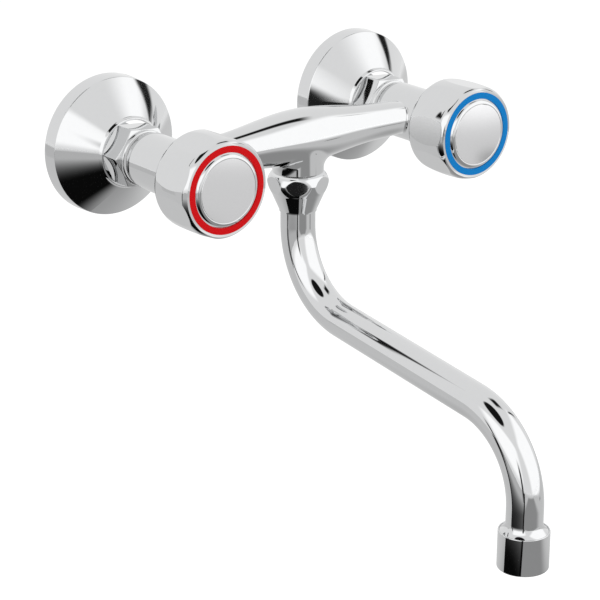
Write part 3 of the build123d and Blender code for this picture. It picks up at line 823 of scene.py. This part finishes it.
def casting_surface(body, rules):
    """Points and faces where the casting's distance is zero, drawn exactly onto its surface."""
    low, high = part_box("mixer_body")
    margin = 3 * body.cell
    axes = [np.arange(low[k] - margin, high[k] + margin, body.cell) for k in range(3)]
    lattice = np.stack(np.meshgrid(*axes, indexing="ij"), axis=-1)
    grid = openvdb.FloatGrid()
    grid.copyFromArray(casting_distance(lattice, body, rules).astype(np.float32))
    points, faces = grid.convertToQuads(isovalue=0.0)
    points = points * body.cell + np.array([axis[0] for axis in axes])
    for _ in range(SURFACE_STEPS):
        slopes = casting_slopes(points, body, rules)
        size = np.maximum((slopes**2).sum(axis=1), 0.3)
        points -= slopes * (casting_distance(points, body, rules) / size)[:, None]
    return points, faces


def make_body(settings):
    """Mixer body in one casting, with near-black painted shade under the boss and in the groove
    behind the barrels.
    """
    body, rules = settings.body, bridge_rules()
    points, faces = casting_surface(body, rules)
    mesh = bpy.data.meshes.new("body_casting")
    mesh.from_pydata(points, [], faces)
    work = bmesh.new()
    work.from_mesh(mesh)
    bmesh.ops.recalc_face_normals(work, faces=work.faces)
    work.to_mesh(mesh)
    work.free()
    mesh.shade_smooth()
    slopes = casting_slopes(points, body, rules)
    mesh.normals_split_custom_set_from_vertices(slopes / np.linalg.norm(slopes, axis=1)[:, None])
    piece = piece_of("body_casting", mesh, chrome_finish(settings.finish))
    mesh.materials.append(painted_shade_finish(settings.finish))
    # faces under the boss and in the groove behind the barrels take the near-black painted shade
    for face in mesh.polygons:
        below_boss = face.center.z < VALVE_Z - body.boss_depth - 0.05 * MM
        in_groove = -face.center.y < body.barrel_start + PAINTED_SHADE_REACH
        face.material_index = int(below_boss or in_groove)
    stands_for(piece, "fixed", "chrome", "mixer_body")


# ---------------------------------------------------------------- spout
def spout_nut_section():
    """Envelope of the nut: rounded top edge, domed waist, straight cone and its bores."""
    top, waist, belly = (13.2, 16.0), (14.9, 19.8), (12.9, 25.5)
    return spaced(
        [(10.53, 16.0), top]
        + arc_through(top, (14.4, 18.1), waist, 12)
        + arc_through(waist, (14.3, 22.5), belly, 16)
        + [(9.15, 34.1), (9.1, 34.8), (8.6, 34.8), (8.6, 30.0), (10.53, 30.0)],
        0.28,
    )


def make_spout_nut(settings):
    """Hexagon nut under the body."""
    spout = settings.spout
    piece = turned_piece(
        "spout_hexagon_nut", SPOUT_STAND, spout_nut_section(), chrome_finish(settings.finish),
        across=flats(spout.nut_flats / MM, 6, spout.nut_turn), softness=0.3, around=360,
    )
    stands_for(piece, "fixed", "chrome", "spout_nut")


def tube_tree():
    """Tree that bends a line of straight runs at its corners and sweeps a tube along it."""
    tree, given = shape_tree(
        "Bent tube",
        {"Bend radius": 40 * MM, "Tube radius": 8 * MM, "Steps in a bend": 112,
         "Steps around": 160},
    )
    bent = add_node(
        tree, "GeometryNodeFilletCurve",
        {"Curve": given["Geometry"], "Count": given["Steps in a bend"],
         "Radius": given["Bend radius"]},
        mode="POLY",
    )
    circle = add_node(
        tree, "GeometryNodeCurvePrimitiveCircle",
        {"Resolution": given["Steps around"], "Radius": given["Tube radius"]},
    )
    tube = add_node(
        tree, "GeometryNodeCurveToMesh",
        {"Curve": bent.outputs[0], "Profile Curve": circle.outputs[0]},
    )
    end_tree(tree, tube.outputs[0], given["Finish"])
    return tree


def spout_route(spout):
    """The corners of the tube's middle line: down, forward along the arm, and down again."""
    reach = SPOUT_Y - MOUTH_Y
    bend_run = spout.bend_radius * tan(spout.bend_angle / 2)
    elbow = spout.bend_start + bend_run
    knee = elbow + reach / tan(spout.bend_angle)
    low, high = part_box("spout_tube")
    depths = (VALVE_Z - high.z, elbow, knee, VALVE_Z - low.z)
    forwards = (0, 0, reach, reach)
    return [(0, SPOUT_Y - y, VALVE_Z - depth) for y, depth in zip(forwards, depths)]


def make_tube(settings):
    """Bent spout tube, with its wall."""
    spout, chrome = settings.spout, chrome_finish(settings.finish)
    line = bpy.data.curves.new("spout_route", "CURVE")
    line.dimensions = "3D"
    run = line.splines.new("POLY")
    corners = spout_route(spout)
    run.points.add(len(corners) - 1)
    for point, corner in zip(run.points, corners):
        point.co = (*corner, 1)
    host = bpy.data.objects.new("spout_route", line)
    sizes = {"Bend radius": spout.bend_radius, "Tube radius": spout.tube_radius}
    skin = grown_mesh("spout_skin", host, tube_tree(), sizes, chrome)
    settle(skin)
    draft = piece_of("spout_skin", skin, chrome)
    wall = draft.modifiers.new("Tube wall", "SOLIDIFY")
    wall.thickness = spout.tube_wall
    wall.offset = -1
    mesh = evaluated_mesh("spout_pipe", draft)
    settle(mesh)
    stands_for(piece_of("spout_pipe", mesh, chrome), "spout", "chrome", "spout_tube")


def collar_section(tube):
    """Collar whose flare curves out from the tube's radius."""
    steps, rim, top, bottom, bend = 24, 10.9, 138.6, 143.3, 2.4
    flare = [
        (tube + (rim - tube) * (k / steps) ** bend, top + (bottom - top) * k / steps)
        for k in range(steps + 1)
    ]
    return flare + [
        (rim, 152.7), (rim - 0.3, 153.0), (9.4, 153.0), (9.4, 147.0), (tube, 147.0)
    ]


def housing_section(outer):
    """Plain round shell with a thin upper lip and an inner shoulder at its mouth."""
    return rounded(
        [
            (outer - 0.5, 143.0, 0.1),
            (outer - 0.1, 143.0, 0.08),
            (outer, 143.3, 0.3),
            (outer, 161.0, 0.45),
            (9.1, 161.0, 0.2),
            (9.1, 160.3),
            (9.9, 160.3),
            (9.9, 156.2),
            (10.95, 156.2),
            (10.95, 143.8),
        ]
    )


def make_mouth(settings):
    """Outlet collar and aerator housing."""
    chrome = chrome_finish(settings.finish)
    for name, node, section in (
        ("outlet_collar_flare", "outlet_collar", collar_section(settings.spout.tube_radius / MM)),
        ("aerator_shell", "aerator_housing", housing_section(settings.spout.housing_radius / MM)),
    ):
        piece = turned_piece(name, MOUTH_STAND, section, chrome)
        stands_for(piece, "spout", "chrome", node)


def perforation_tree():
    """Tree that drills two circles of holes through a disc about z."""
    tree, given = shape_tree(
        "Drill holes",
        {"Inner circle": 3 * MM, "Inner holes": 6, "Outer circle": 6 * MM, "Outer holes": 12,
         "Hole radius": 0.7 * MM, "Depth": 8 * MM, "Height": 0.0},
    )
    drill = add_node(
        tree, "GeometryNodeMeshCylinder",
        {"Vertices": 20, "Radius": given["Hole radius"], "Depth": given["Depth"]},
    ).outputs[0]
    lift = vector_of(tree, z=given["Height"])
    drills = add_node(tree, "GeometryNodeJoinGeometry")
    for circle in ("Inner", "Outer"):
        ring = add_node(
            tree, "GeometryNodeMeshCircle",
            {"Vertices": given[f"{circle} holes"], "Radius": given[f"{circle} circle"]},
        )
        placed = laid_on(tree, moved(tree, ring.outputs[0], lift), drill)
        tree.links.new(placed, drills.inputs[0])
    tools = add_node(tree, "GeometryNodeRealizeInstances", {"Geometry": drills.outputs[0]})
    drilled = add_node(
        tree, "GeometryNodeMeshBoolean", {"Mesh 1": given["Geometry"], "Mesh 2": tools.outputs[0]},
        operation="DIFFERENCE", solver="EXACT",
    )
    end_tree(tree, drilled.outputs[0], given["Finish"])
    return tree


def wire_layer(tree, given, turn, side):
    """One layer of wires that wave over and under those of the other layer."""
    gaps = calc(tree, "SUBTRACT", given["Rows"], 1.0)
    reach = calc(tree, "MULTIPLY", calc(tree, "MULTIPLY", gaps, 0.5), given["Pitch"])
    back = calc(tree, "MULTIPLY", reach, -1.0)
    rows = add_node(
        tree, "GeometryNodeMeshLine",
        {"Count": given["Rows"], "Start Location": vector_of(tree, y=back),
         "Offset": vector_of(tree, y=given["Pitch"])},
        mode="OFFSET",
    )
    wire = add_node(
        tree, "GeometryNodeCurvePrimitiveLine",
        {"Start": vector_of(tree, x=back), "End": vector_of(tree, x=reach)},
    )
    count = calc(tree, "ADD", calc(tree, "MULTIPLY", gaps, 6.0), 1.0)  # six points for each gap
    fine = add_node(tree, "GeometryNodeResampleCurve", {"Curve": wire.outputs[0], "Count": count})
    laid = laid_on(tree, rows.outputs[0], fine.outputs[0])
    flat = add_node(tree, "GeometryNodeRealizeInstances", {"Geometry": laid})
    turned = add_node(
        tree, "GeometryNodeTransform",
        {"Geometry": flat.outputs[0], "Rotation": (0.0, 0.0, turn)},
    )
    x, y, _ = parted(tree, add_node(tree, "GeometryNodeInputPosition").outputs[0])
    pitches = calc(tree, "DIVIDE", calc(tree, "ADD", x, y), given["Pitch"])
    wave = calc(tree, "COSINE", calc(tree, "MULTIPLY", pitches, pi))
    swing = calc(tree, "MULTIPLY", calc(tree, "MULTIPLY", wave, side * 0.5), given["Wire"])
    lift = vector_of(tree, z=calc(tree, "ADD", swing, given["Height"]))
    waved = moved(tree, turned.outputs[0], lift)
    outside = above(tree, off_axis(tree, x, y), given["Radius"])
    return add_node(
        tree, "GeometryNodeDeleteGeometry", {"Geometry": waved, "Selection": outside}
    ).outputs[0]


def weave_tree():
    """Tree that adds two crossing layers of waved wires, cut to a circle, to a rim about z."""
    tree, given = shape_tree(
        "Weave screen",
        {"Pitch": 1.1 * MM, "Wire": 0.2 * MM, "Radius": 9.0 * MM, "Rows": 17, "Height": 0.0},
    )
    profile = add_node(
        tree, "GeometryNodeCurvePrimitiveCircle",
        {"Resolution": 5, "Radius": calc(tree, "MULTIPLY", given["Wire"], 0.5)},
    )
    screen = add_node(tree, "GeometryNodeJoinGeometry")
    tree.links.new(given["Geometry"], screen.inputs[0])
    for turn, side in ((0.0, 1.0), (pi / 2, -1.0)):
        thick = add_node(
            tree, "GeometryNodeCurveToMesh",
            {"Curve": wire_layer(tree, given, turn, side), "Profile Curve": profile.outputs[0],
             "Fill Caps": True},
        )
        tree.links.new(thick.outputs[0], screen.inputs[0])
    end_tree(tree, screen.outputs[0], given["Finish"])
    return tree


def grown_at_mouth(name, section, tree, sizes, finish):
    """Piece that a tree makes from a turned blank, in the spout's mouth."""
    blank = turned_mesh(f"{name}_blank", section, around=96)
    settle(blank)
    host = bpy.data.objects.new(f"{name}_blank", blank)
    mesh = grown_mesh(name, host, tree, sizes, finish)
    mesh.transform(MOUTH_STAND)
    settle(mesh)
    return piece_of(name, mesh, finish)


def make_aerator(settings):
    """Perforated insert and woven outlet screen inside the housing."""
    spout, colours = settings.spout, settings.finish
    disc = [
        (0, 156.0), (7.6, 156.0), (7.6, 154.6), (10.9, 154.6), (10.9, 156.2),
        (9.9, 156.2), (9.9, 160.0), (8.6, 160.0), (8.6, 158.4), (0, 158.4),
    ]
    sizes = {"Hole radius": spout.hole_radius, "Height": 157.2 * MM}
    insert = grown_at_mouth("aerator_disc", disc, perforation_tree(), sizes, white_finish(colours))
    stands_for(insert, "spout", "white_plastic", "aerator_insert")

    rim = [(8.8, 160.0), (9.9, 160.0), (9.9, 160.3), (8.8, 160.3)]
    sizes = {"Pitch": spout.screen_pitch, "Wire": spout.screen_wire, "Height": 160.15 * MM}
    screen = grown_at_mouth("aerator_screen", rim, weave_tree(), sizes, steel_finish(colours))
    stands_for(screen, "spout", "steel", "aerator_mesh")


# ---------------------------------------------------------------- handles
HANDLE_BACK, HANDLE_FRONT = 71.7, 97.5  # stations of the handle's ends
EASING_STEPS = 6  # roundings of the changes between the arcs of its outside


def eased(points):
    """Open line with its changes of direction evened out, its ends kept."""
    between = [
        tuple((Vector(a) + 2 * Vector(b) + Vector(c)) / 4)
        for a, b, c in zip(points, points[1:], points[2:])
    ]
    return points[:1] + between + points[-1:]


def handle_section():
    """Barrel of the handle, its rounded ends, the pockets in front and the hollow behind."""
    back, shoulder = (20.9, HANDLE_BACK), (22.9, 75.4)
    front, face = (23.1, 94.0), (21.6, HANDLE_FRONT)
    outside = (
        [back]
        + arc_through(back, (22.15, 73.1), shoulder, 14)
        + arc_through(shoulder, (23.45, 85.5), front, 40)
        + arc_through(front, (22.65, 96.2), face, 14)
    )
    for _ in range(EASING_STEPS):
        outside = eased(outside)
    pockets = [
        (20.45, HANDLE_FRONT), (20.45, 95.4), (17.0, 95.4), (17.0, 93.0), (6.5, 93.0),
        (6.5, 89.6), (4.25, 89.6),
    ]
    hollow = [(4.25, 82.4), (9.0, 82.4), (9.0, 88.5), (18.5, 88.5), (18.5, HANDLE_BACK)]
    return spaced(outside, 0.3)[:-1] + pockets + hollow


def make_handles(settings):
    """Two faceted handles."""
    sizes, chrome = settings.handle, chrome_finish(settings.finish)
    for side, ridge in (("hot", sizes.hot_ridge), ("cold", sizes.cold_ridge)):
        piece = turned_piece(
            f"{side}_faceted_grip", valve_stand(side), handle_section(), chrome,
            across=flats(sizes.across_flats / MM, sizes.facets, ridge), softness=0.09, around=432,
        )
        stands_for(piece, f"{side}_grip", "chrome", f"{side}_handle")


def make_rings(settings):
    """Red and blue index rings."""
    outer, bore = settings.handle.ring_radius / MM, settings.handle.ring_bore / MM
    back, face = 95.4, 97.8
    section = rounded([(bore, back), (outer, back), (outer, face, 0.15), (bore, face, 0.15)])
    for side, slot in (("hot", "red_plastic"), ("cold", "blue_plastic")):
        plastic = ring_finish(settings.finish, side)
        piece = turned_piece(f"{side}_colour_ring", valve_stand(side), section, plastic)
        stands_for(piece, f"{side}_grip", slot, f"{side}_index_ring")


SATIN_BACK = 98 * MM  # a cap is polished behind this distance from the wall


def cap_section(handle):
    """Cap: slightly domed satin face, rounded polished shoulder, hollow back and its spigot."""
    radius, bevel = handle.cap_radius / MM, handle.cap_face_radius / MM
    steps, crown, fall = 24, 99.2, 0.35
    dome = [(bevel * k / steps, crown - fall * (k / steps) ** 2) for k in range(steps + 1)]
    shoulder = arc_through((bevel, crown - fall), (16.55, 98.0), (radius, 96.2), 20)
    skirt = [(radius, 95.7), (16.3, 95.5), (16.3, 93.0), (14.0, 93.0), (14.0, 96.0)]
    spigot = [(6.45, 96.0), (6.45, 90.4), (5.15, 90.4), (5.15, 96.0), (0, 96.0)]
    return dome + [(bevel + 0.12, 98.72)] + shoulder[1:] + skirt + spigot


def make_caps(settings):
    """Two caps with a satin face inside a polished shoulder."""
    handle, colours = settings.handle, settings.finish
    for side in SIDES:
        piece = turned_piece(
            f"{side}_satin_cap", valve_stand(side), cap_section(handle), satin_finish(colours)
        )
        piece.data.materials.append(chrome_finish(colours))
        back = valve_stand(side).inverted()
        for face in piece.data.polygons:
            local = back @ face.center
            if hypot(local.x, local.y) > handle.cap_face_radius or local.z < SATIN_BACK:
                face.material_index = 1
        stands_for(piece, f"{side}_grip", "satin_chrome", f"{side}_cap")


# ---------------------------------------------------------------- pieces that stay as they are
def make_inner_finishes(settings):
    """Finishes of the pieces inside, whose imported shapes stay."""
    finishes = {
        "chrome": chrome_finish, "satin_chrome": satin_finish, "brass": brass_finish,
        "steel": steel_finish, "rubber": rubber_finish, "fibre": fibre_finish,
        "white_plastic": white_finish,
    }
    for part in frame["record"]["subparts"]:
        finish = finishes.get(part["material_slot"])
        # the inlet nipples take the near-black painted shade, for the dark gap between each union
        # nut and its barrel
        if part["node"] in ("hot_inlet_nipple", "cold_inlet_nipple"):
            finish = painted_shade_finish
        if finish:
            for slot in frame["nodes"][part["node"]].material_slots:
                slot.material = finish(settings.finish)


# ---------------------------------------------------------------- studio
STUDIO_MIDDLE = Vector((0, -0.08, 0))
TUBE_BEND = Vector((0, MOUTH_Y, VALVE_Z - 0.11))  # where the tube turns down to its mouth
FLOOR_REACH = 6  # from the middle of the floor to its sides
LAMP_DISTANCE, LAMP_EDGE = 2.0, 0.2  # the edge is the share of a side over which a lamp fades
LAMPS = (  # name, azimuth, elevation, width, height, level
    ("left_softbox", -70, 20, 3.2, 1.9, 0.45),
    ("right_softbox", 40, 22, 4.2, 3.0, 0.45),
    ("overhead_softbox", 20, 78, 1.2, 1.2, 0.7),
)
CARD_LIFT, CARD_GAP = 0.004, 0.002  # height of the lowest floor card, and steps to the next ones
FLOOR_CARDS = (  # name, corners, shade, softness
    ("grey_sweep", ((-4, -4), (4, -4), (4, 4), (-4, 4)), 0.74, 0.5),
    ("front_shade", ((-0.9, -2.4), (0.45, -2.4), (0.6, 0.35), (-0.5, 0.35)), 0.36, 0.4),
    ("white_sheet", ((0.3, -3.6), (1.0, -0.9), (3.8, -0.3), (3.8, -3.6)), 1.2, 0.5),
)
FLAG_POINT, FLAG_SIDES, FLAG_REACH = (0.03, -0.06), (-38.5, -114), 2.8  # black flag on the floor
CARD_DISTANCE = 1.2
HANGING_CARDS = (  # name, azimuth, elevation, width, height, softness, shade, lean
    ("right_pole", -44, -4, 0.24, 1.0, 0.7, 0.02, 0),
    ("left_pole", -106, -8, 0.13, 0.8, 0.7, 0.02, 0),
    ("upper_flag", -80, 69, 0.74, 0.80, 0.2, 0.01, 0),
    ("overhead_flag", 88, 65, 0.40, 0.62, 0.6, 0.01, 0),
    ("side_pole", 90, 24, 0.07, 0.85, 0.6, 0.02, 24),
    ("back_pole", -137, 35, 0.12, 0.62, 0.5, 0.01, 18),
    ("right_strip", 50, -20, 0.22, 0.14, 0.7, 0.3, 0),
    ("facet_card", -140, -10, 0.28, 0.24, 0.3, 0.66, 0),
)
OVAL_CARDS = ("upper_flag",)  # these face the tube's bend


def towards(azimuth, elevation):
    """Direction seen from the faucet: azimuth from the user's side to the right, elevation up."""
    return Vector((sin(azimuth) * cos(elevation), -cos(azimuth) * cos(elevation), sin(elevation)))


def facing(azimuth, elevation, distance, middle=STUDIO_MIDDLE, lean=0):
    """Matrix of something that faces the faucet from a direction; its x is level but for a lean."""
    away = towards(azimuth, elevation)
    side = Vector((0, 0, 1)).cross(away).normalized()
    matrix = Matrix((side, away.cross(side), away)).transposed().to_4x4()
    matrix.translation = middle + away * distance
    return matrix @ Matrix.Rotation(lean, 4, "Z")


def card_of(name, corners, material, place=None):
    """Flat card of the studio; it is seen only in reflections."""
    mesh = bpy.data.meshes.new(name)
    mesh.from_pydata(corners, [], [range(len(corners))])
    mesh.uv_layers.new(name="card")
    for loop, spot in zip(mesh.uv_layers["card"].data, ((0, 0), (1, 0), (1, 1), (0, 1))):
        loop.uv = spot
    if place:
        mesh.transform(place)
    card = piece_of(name, mesh, material)
    card.visible_camera = card.visible_diffuse = False
    card.visible_shadow = card.visible_transmission = False
    return card


def card_tree(name):
    """Material of a card, its empty tree and the place on the card."""
    material = bpy.data.materials.new(name)
    material.use_nodes = True
    tree = material.node_tree
    tree.nodes.clear()
    return material, tree, add_node(tree, "ShaderNodeTexCoord").outputs["UV"]


def end_card_tree(tree, cover, shade):
    """The card glows in its shade where it covers, and is clear elsewhere."""
    clear = add_node(tree, "ShaderNodeBsdfTransparent").outputs[0]
    tone = add_node(tree, "ShaderNodeEmission", {"Color": (1, 1, 1, 1), "Strength": shade})
    mixed = add_node(tree, "ShaderNodeMixShader", {0: cover, 1: clear, 2: tone.outputs[0]})
    add_node(tree, "ShaderNodeOutputMaterial", {"Surface": mixed.outputs[0]})


def card_material(name, shade, softness, oval=False):
    """Card that fades out towards its edges, or towards those of an oval."""
    material, tree, spot = card_tree(name)
    off = add_node(
        tree, "ShaderNodeVectorMath", {0: spot, 1: (0.5, 0.5, 0.0)}, operation="SUBTRACT"
    ).outputs[0]
    if oval:
        reaches = [size_of(tree, off)]
    else:
        reaches = [calc(tree, "ABSOLUTE", side) for side in parted(tree, off)[:2]]
    cover = 1.0
    for reach in reaches:
        depth = calc(tree, "SUBTRACT", 0.5, reach)
        edge = mapped(tree, depth, (0.0, softness / 2), (0.0, 1.0), smooth=True)
        cover = calc(tree, "MULTIPLY", edge, cover)
    end_card_tree(tree, cover, shade)
    return material


def flag_material():
    """Black flag, clear at its point, that pales far out and stays dark along its two sides."""
    material, tree, spot = card_tree("black_flag")
    u, v, _ = parted(tree, spot)
    away = size_of(tree, spot)
    shade = mapped(tree, away, (0.15, 0.5), (0.004, 0.62), smooth=True)
    share = calc(tree, "DIVIDE", calc(tree, "MINIMUM", u, v), calc(tree, "MAXIMUM", u, v))
    inside = mapped(tree, share, (0.08, 0.14), (0.03, 1.0), smooth=True)
    cover = mapped(tree, away, (0.0, 0.055), (0.0, 1.0), smooth=True)
    end_card_tree(tree, cover, calc(tree, "MULTIPLY", shade, inside))
    return material


def make_camera(studio):
    """Camera at the photograph's viewing angle."""
    lens = bpy.data.cameras.new("camera")
    lens.lens = studio.focal_length
    lens.sensor_width = 36
    camera = bpy.data.objects.new("camera", lens)
    tilt = Euler((pi / 2 - studio.camera_elevation, 0, studio.camera_azimuth)).to_matrix()
    roll = Matrix.Rotation(-studio.camera_roll, 3, "Z")
    camera.matrix_world = Matrix.Translation(studio.camera_place) @ (tilt @ roll).to_4x4()
    bpy.context.scene.collection.objects.link(camera)
    bpy.context.scene.camera = camera


def seen_directly(tree):
    """1 where the camera, a reflection or a view through something sees the surroundings."""
    rays = add_node(tree, "ShaderNodeLightPath").outputs
    return calc(
        tree, "MAXIMUM", rays["Is Camera Ray"],
        calc(tree, "MAXIMUM", rays["Is Glossy Ray"], rays["Is Transmission Ray"]),
    )


def make_surroundings(studio):
    """White world and pale floor; both are seen as white, and the floor keeps its shadows."""
    world = bpy.data.worlds.new("white_studio")
    bpy.context.scene.world = world
    world.use_nodes = True
    tree = world.node_tree
    strength = mapped(tree, seen_directly(tree), (0.0, 1.0), (studio.world_light, 1.0))
    tree.links.new(strength, tree.nodes["Background"].inputs["Strength"])
    tree.nodes["Background"].inputs["Color"].default_value = (1, 1, 1, 1)

    paint = bpy.data.materials.new("pale_floor")
    paint.use_nodes = True
    tree = paint.node_tree
    shader = tree.nodes["Principled BSDF"]
    shader.inputs["Base Color"].default_value = (0.8, 0.8, 0.8, 1)
    shader.inputs["Roughness"].default_value = 0.9
    shader.inputs["Specular IOR Level"].default_value = 0.1
    shader.inputs["Emission Color"].default_value = (1, 1, 1, 1)
    lift = calc(tree, "MULTIPLY", seen_directly(tree), studio.floor_lift)
    tree.links.new(lift, shader.inputs["Emission Strength"])
    corners = [
        (x * FLOOR_REACH, y * FLOOR_REACH, VALVE_Z - studio.floor_drop)
        for x, y in ((-1, -1), (1, -1), (1, 1), (-1, 1))
    ]
    mesh = bpy.data.meshes.new("floor")
    mesh.from_pydata(corners, [], [(0, 1, 2, 3)])
    piece_of("floor", mesh, paint)


def soften_lamp(lamp):
    """Lamp that fades out towards its edges."""
    lamp.use_nodes = True
    tree = lamp.node_tree
    spot = add_node(tree, "ShaderNodeNewGeometry").outputs["Parametric"]
    glow = 1.0
    for along in parted(tree, spot)[:2]:
        off = calc(tree, "ABSOLUTE", calc(tree, "SUBTRACT", along, 0.5))
        depth = calc(tree, "SUBTRACT", 0.5, off)
        edge = mapped(tree, depth, (0.0, LAMP_EDGE), (0.0, 1.0), smooth=True)
        glow = calc(tree, "MULTIPLY", edge, glow)
    tree.links.new(glow, tree.nodes["Emission"].inputs["Strength"])


def make_lamps():
    """Two soft boxes beside the camera and a soft lamp overhead, which no reflection shows."""
    for name, azimuth, elevation, width, height, level in LAMPS:
        lamp = bpy.data.lights.new(name, "AREA")
        lamp.shape = "RECTANGLE"
        lamp.size, lamp.size_y = width, height
        lamp.energy = level * pi * width * height
        soften_lamp(lamp)
        holder = bpy.data.objects.new(name, lamp)
        holder.matrix_world = facing(radians(azimuth), radians(elevation), LAMP_DISTANCE)
        holder.visible_glossy = name != "overhead_softbox"
        holder.visible_camera = False
        bpy.context.scene.collection.objects.link(holder)


def make_floor_cards(studio):
    """Cards on the floor: grey all round, a darker one, a white one and the black flag."""
    ground = VALVE_Z - studio.floor_drop + CARD_LIFT
    for name, corners, shade, softness in FLOOR_CARDS:
        material = card_material(name, shade, softness)
        card_of(name, [(x, y, ground) for x, y in corners], material)
        ground += CARD_GAP
    point = Vector((*FLAG_POINT, ground))
    right, left = (towards(radians(side), 0) * FLAG_REACH for side in FLAG_SIDES)
    corners = [point, point + right, point + right + left, point + left]
    card_of("black_flag", corners, flag_material())


def make_hanging_cards():
    """Cards round the faucet: poles and flags for its dark lines, two pale ones for its sides."""
    for name, azimuth, elevation, width, height, softness, shade, lean in HANGING_CARDS:
        w, h, oval = width / 2, height / 2, name in OVAL_CARDS
        middle = TUBE_BEND if oval else STUDIO_MIDDLE
        card_of(
            name, [(-w, -h, 0), (w, -h, 0), (w, h, 0), (-w, h, 0)],
            card_material(name, shade, softness, oval),
            facing(radians(azimuth), radians(elevation), CARD_DISTANCE, middle, radians(lean)),
        )


CALM_PIECES = ("grip", "ring", "cap", "casting", "spout_hexagon", "aerator")  # parts of names


def calm_reflections():
    """Leave pieces that would show small images of themselves out of the reflections."""
    for piece in bpy.context.scene.objects:
        if piece.type == "MESH" and any(word in piece.name for word in CALM_PIECES):
            piece.visible_glossy = False
    for node in frame["nodes"].values():
        node.visible_glossy = False


def make_studio(settings):
    """Camera, white surroundings, soft lamps and the cards."""
    bpy.context.scene.view_settings.view_transform = "Standard"
    calm_reflections()
    make_camera(settings.studio)
    make_surroundings(settings.studio)
    make_lamps()
    make_floor_cards(settings.studio)
    make_hanging_cards()


# ---------------------------------------------------------------- operators
class FAUCET_OT_flanges(bpy.types.Operator):
    """Turn the two wall flanges"""

    bl_idname = "faucet.flanges"
    bl_label = "Wall flanges"

    def execute(self, context):
        make_flanges(context.scene.faucet)
        return {"FINISHED"}


class FAUCET_OT_eccentric_unions(bpy.types.Operator):
    """Make the two eccentric unions with their threads"""

    bl_idname = "faucet.eccentric_unions"
    bl_label = "Eccentric unions"

    def execute(self, context):
        make_eccentric_unions(context.scene.faucet)
        return {"FINISHED"}


class FAUCET_OT_union_nuts(bpy.types.Operator):
    """Make the two union nuts"""

    bl_idname = "faucet.union_nuts"
    bl_label = "Union nuts"

    def execute(self, context):
        make_union_nuts(context.scene.faucet)
        return {"FINISHED"}


class FAUCET_OT_body(bpy.types.Operator):
    """Cast the mixer body"""

    bl_idname = "faucet.body"
    bl_label = "Mixer body"

    def execute(self, context):
        make_body(context.scene.faucet)
        return {"FINISHED"}


class FAUCET_OT_spout_nut(bpy.types.Operator):
    """Make the nut under the body"""

    bl_idname = "faucet.spout_nut"
    bl_label = "Spout nut"

    def execute(self, context):
        make_spout_nut(context.scene.faucet)
        return {"FINISHED"}


class FAUCET_OT_tube(bpy.types.Operator):
    """Bend the spout tube"""

    bl_idname = "faucet.tube"
    bl_label = "Spout tube"

    def execute(self, context):
        make_tube(context.scene.faucet)
        return {"FINISHED"}


class FAUCET_OT_mouth(bpy.types.Operator):
    """Make the outlet collar and the aerator housing"""

    bl_idname = "faucet.mouth"
    bl_label = "Spout mouth"

    def execute(self, context):
        make_mouth(context.scene.faucet)
        return {"FINISHED"}


class FAUCET_OT_aerator(bpy.types.Operator):
    """Make the perforated insert and the woven screen of the aerator"""

    bl_idname = "faucet.aerator"
    bl_label = "Aerator"

    def execute(self, context):
        make_aerator(context.scene.faucet)
        return {"FINISHED"}


class FAUCET_OT_handles(bpy.types.Operator):
    """Make the two faceted handles"""

    bl_idname = "faucet.handles"
    bl_label = "Handles"

    def execute(self, context):
        make_handles(context.scene.faucet)
        return {"FINISHED"}


class FAUCET_OT_rings(bpy.types.Operator):
    """Make the red and the blue index ring"""

    bl_idname = "faucet.rings"
    bl_label = "Index rings"

    def execute(self, context):
        make_rings(context.scene.faucet)
        return {"FINISHED"}


class FAUCET_OT_caps(bpy.types.Operator):
    """Make the two caps"""

    bl_idname = "faucet.caps"
    bl_label = "Caps"

    def execute(self, context):
        make_caps(context.scene.faucet)
        return {"FINISHED"}


class FAUCET_OT_inner_finishes(bpy.types.Operator):
    """Give the pieces inside their finishes"""

    bl_idname = "faucet.inner_finishes"
    bl_label = "Inner finishes"

    def execute(self, context):
        make_inner_finishes(context.scene.faucet)
        return {"FINISHED"}


class FAUCET_OT_studio(bpy.types.Operator):
    """Set up the camera, the floor and the light"""

    bl_idname = "faucet.studio"
    bl_label = "Studio"

    def execute(self, context):
        make_studio(context.scene.faucet)
        return {"FINISHED"}


STEPS = (
    FAUCET_OT_flanges,
    FAUCET_OT_eccentric_unions,
    FAUCET_OT_union_nuts,
    FAUCET_OT_body,
    FAUCET_OT_spout_nut,
    FAUCET_OT_tube,
    FAUCET_OT_mouth,
    FAUCET_OT_aerator,
    FAUCET_OT_handles,
    FAUCET_OT_rings,
    FAUCET_OT_caps,
    FAUCET_OT_inner_finishes,
    FAUCET_OT_studio,
)
GROUPS = ("wall", "body", "spout", "handle", "finish", "studio")


class FAUCET_PT_sidebar(bpy.types.Panel):
    """Steps and settings of the faucet"""

    bl_label = "Kitchen faucet"
    bl_idname = "FAUCET_PT_sidebar"
    bl_space_type = "VIEW_3D"
    bl_region_type = "UI"
    bl_category = "Faucet"

    def draw(self, context):
        for step in STEPS:
            self.layout.operator(step.bl_idname)
        for name in GROUPS:
            box = self.layout.box()
            group = getattr(context.scene.faucet, name)
            box.label(text=name.capitalize())
            for setting in group.bl_rna.properties:
                if setting.identifier not in ("rna_type", "name"):
                    box.prop(group, setting.identifier)


CLASSES = (
    WallSizes,
    BodySizes,
    SpoutSizes,
    HandleSizes,
    FinishColours,
    StudioSettings,
    FaucetSettings,
    *STEPS,
    FAUCET_PT_sidebar,
)


def register():
    """Make the settings, steps and panel known to Blender."""
    for cls in CLASSES:
        bpy.utils.register_class(cls)
    bpy.types.Scene.faucet = PointerProperty(type=FaucetSettings)


def unregister():
    """Take the settings, steps and panel out of Blender again."""
    del bpy.types.Scene.faucet
    for cls in reversed(CLASSES):
        bpy.utils.unregister_class(cls)


def main():
    """Make the faucet and its studio."""
    register()
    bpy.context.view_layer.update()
    for step in STEPS:
        group, name = step.bl_idname.split(".")
        getattr(getattr(bpy.ops, group), name)()


if __name__ == "__main__":
    main()
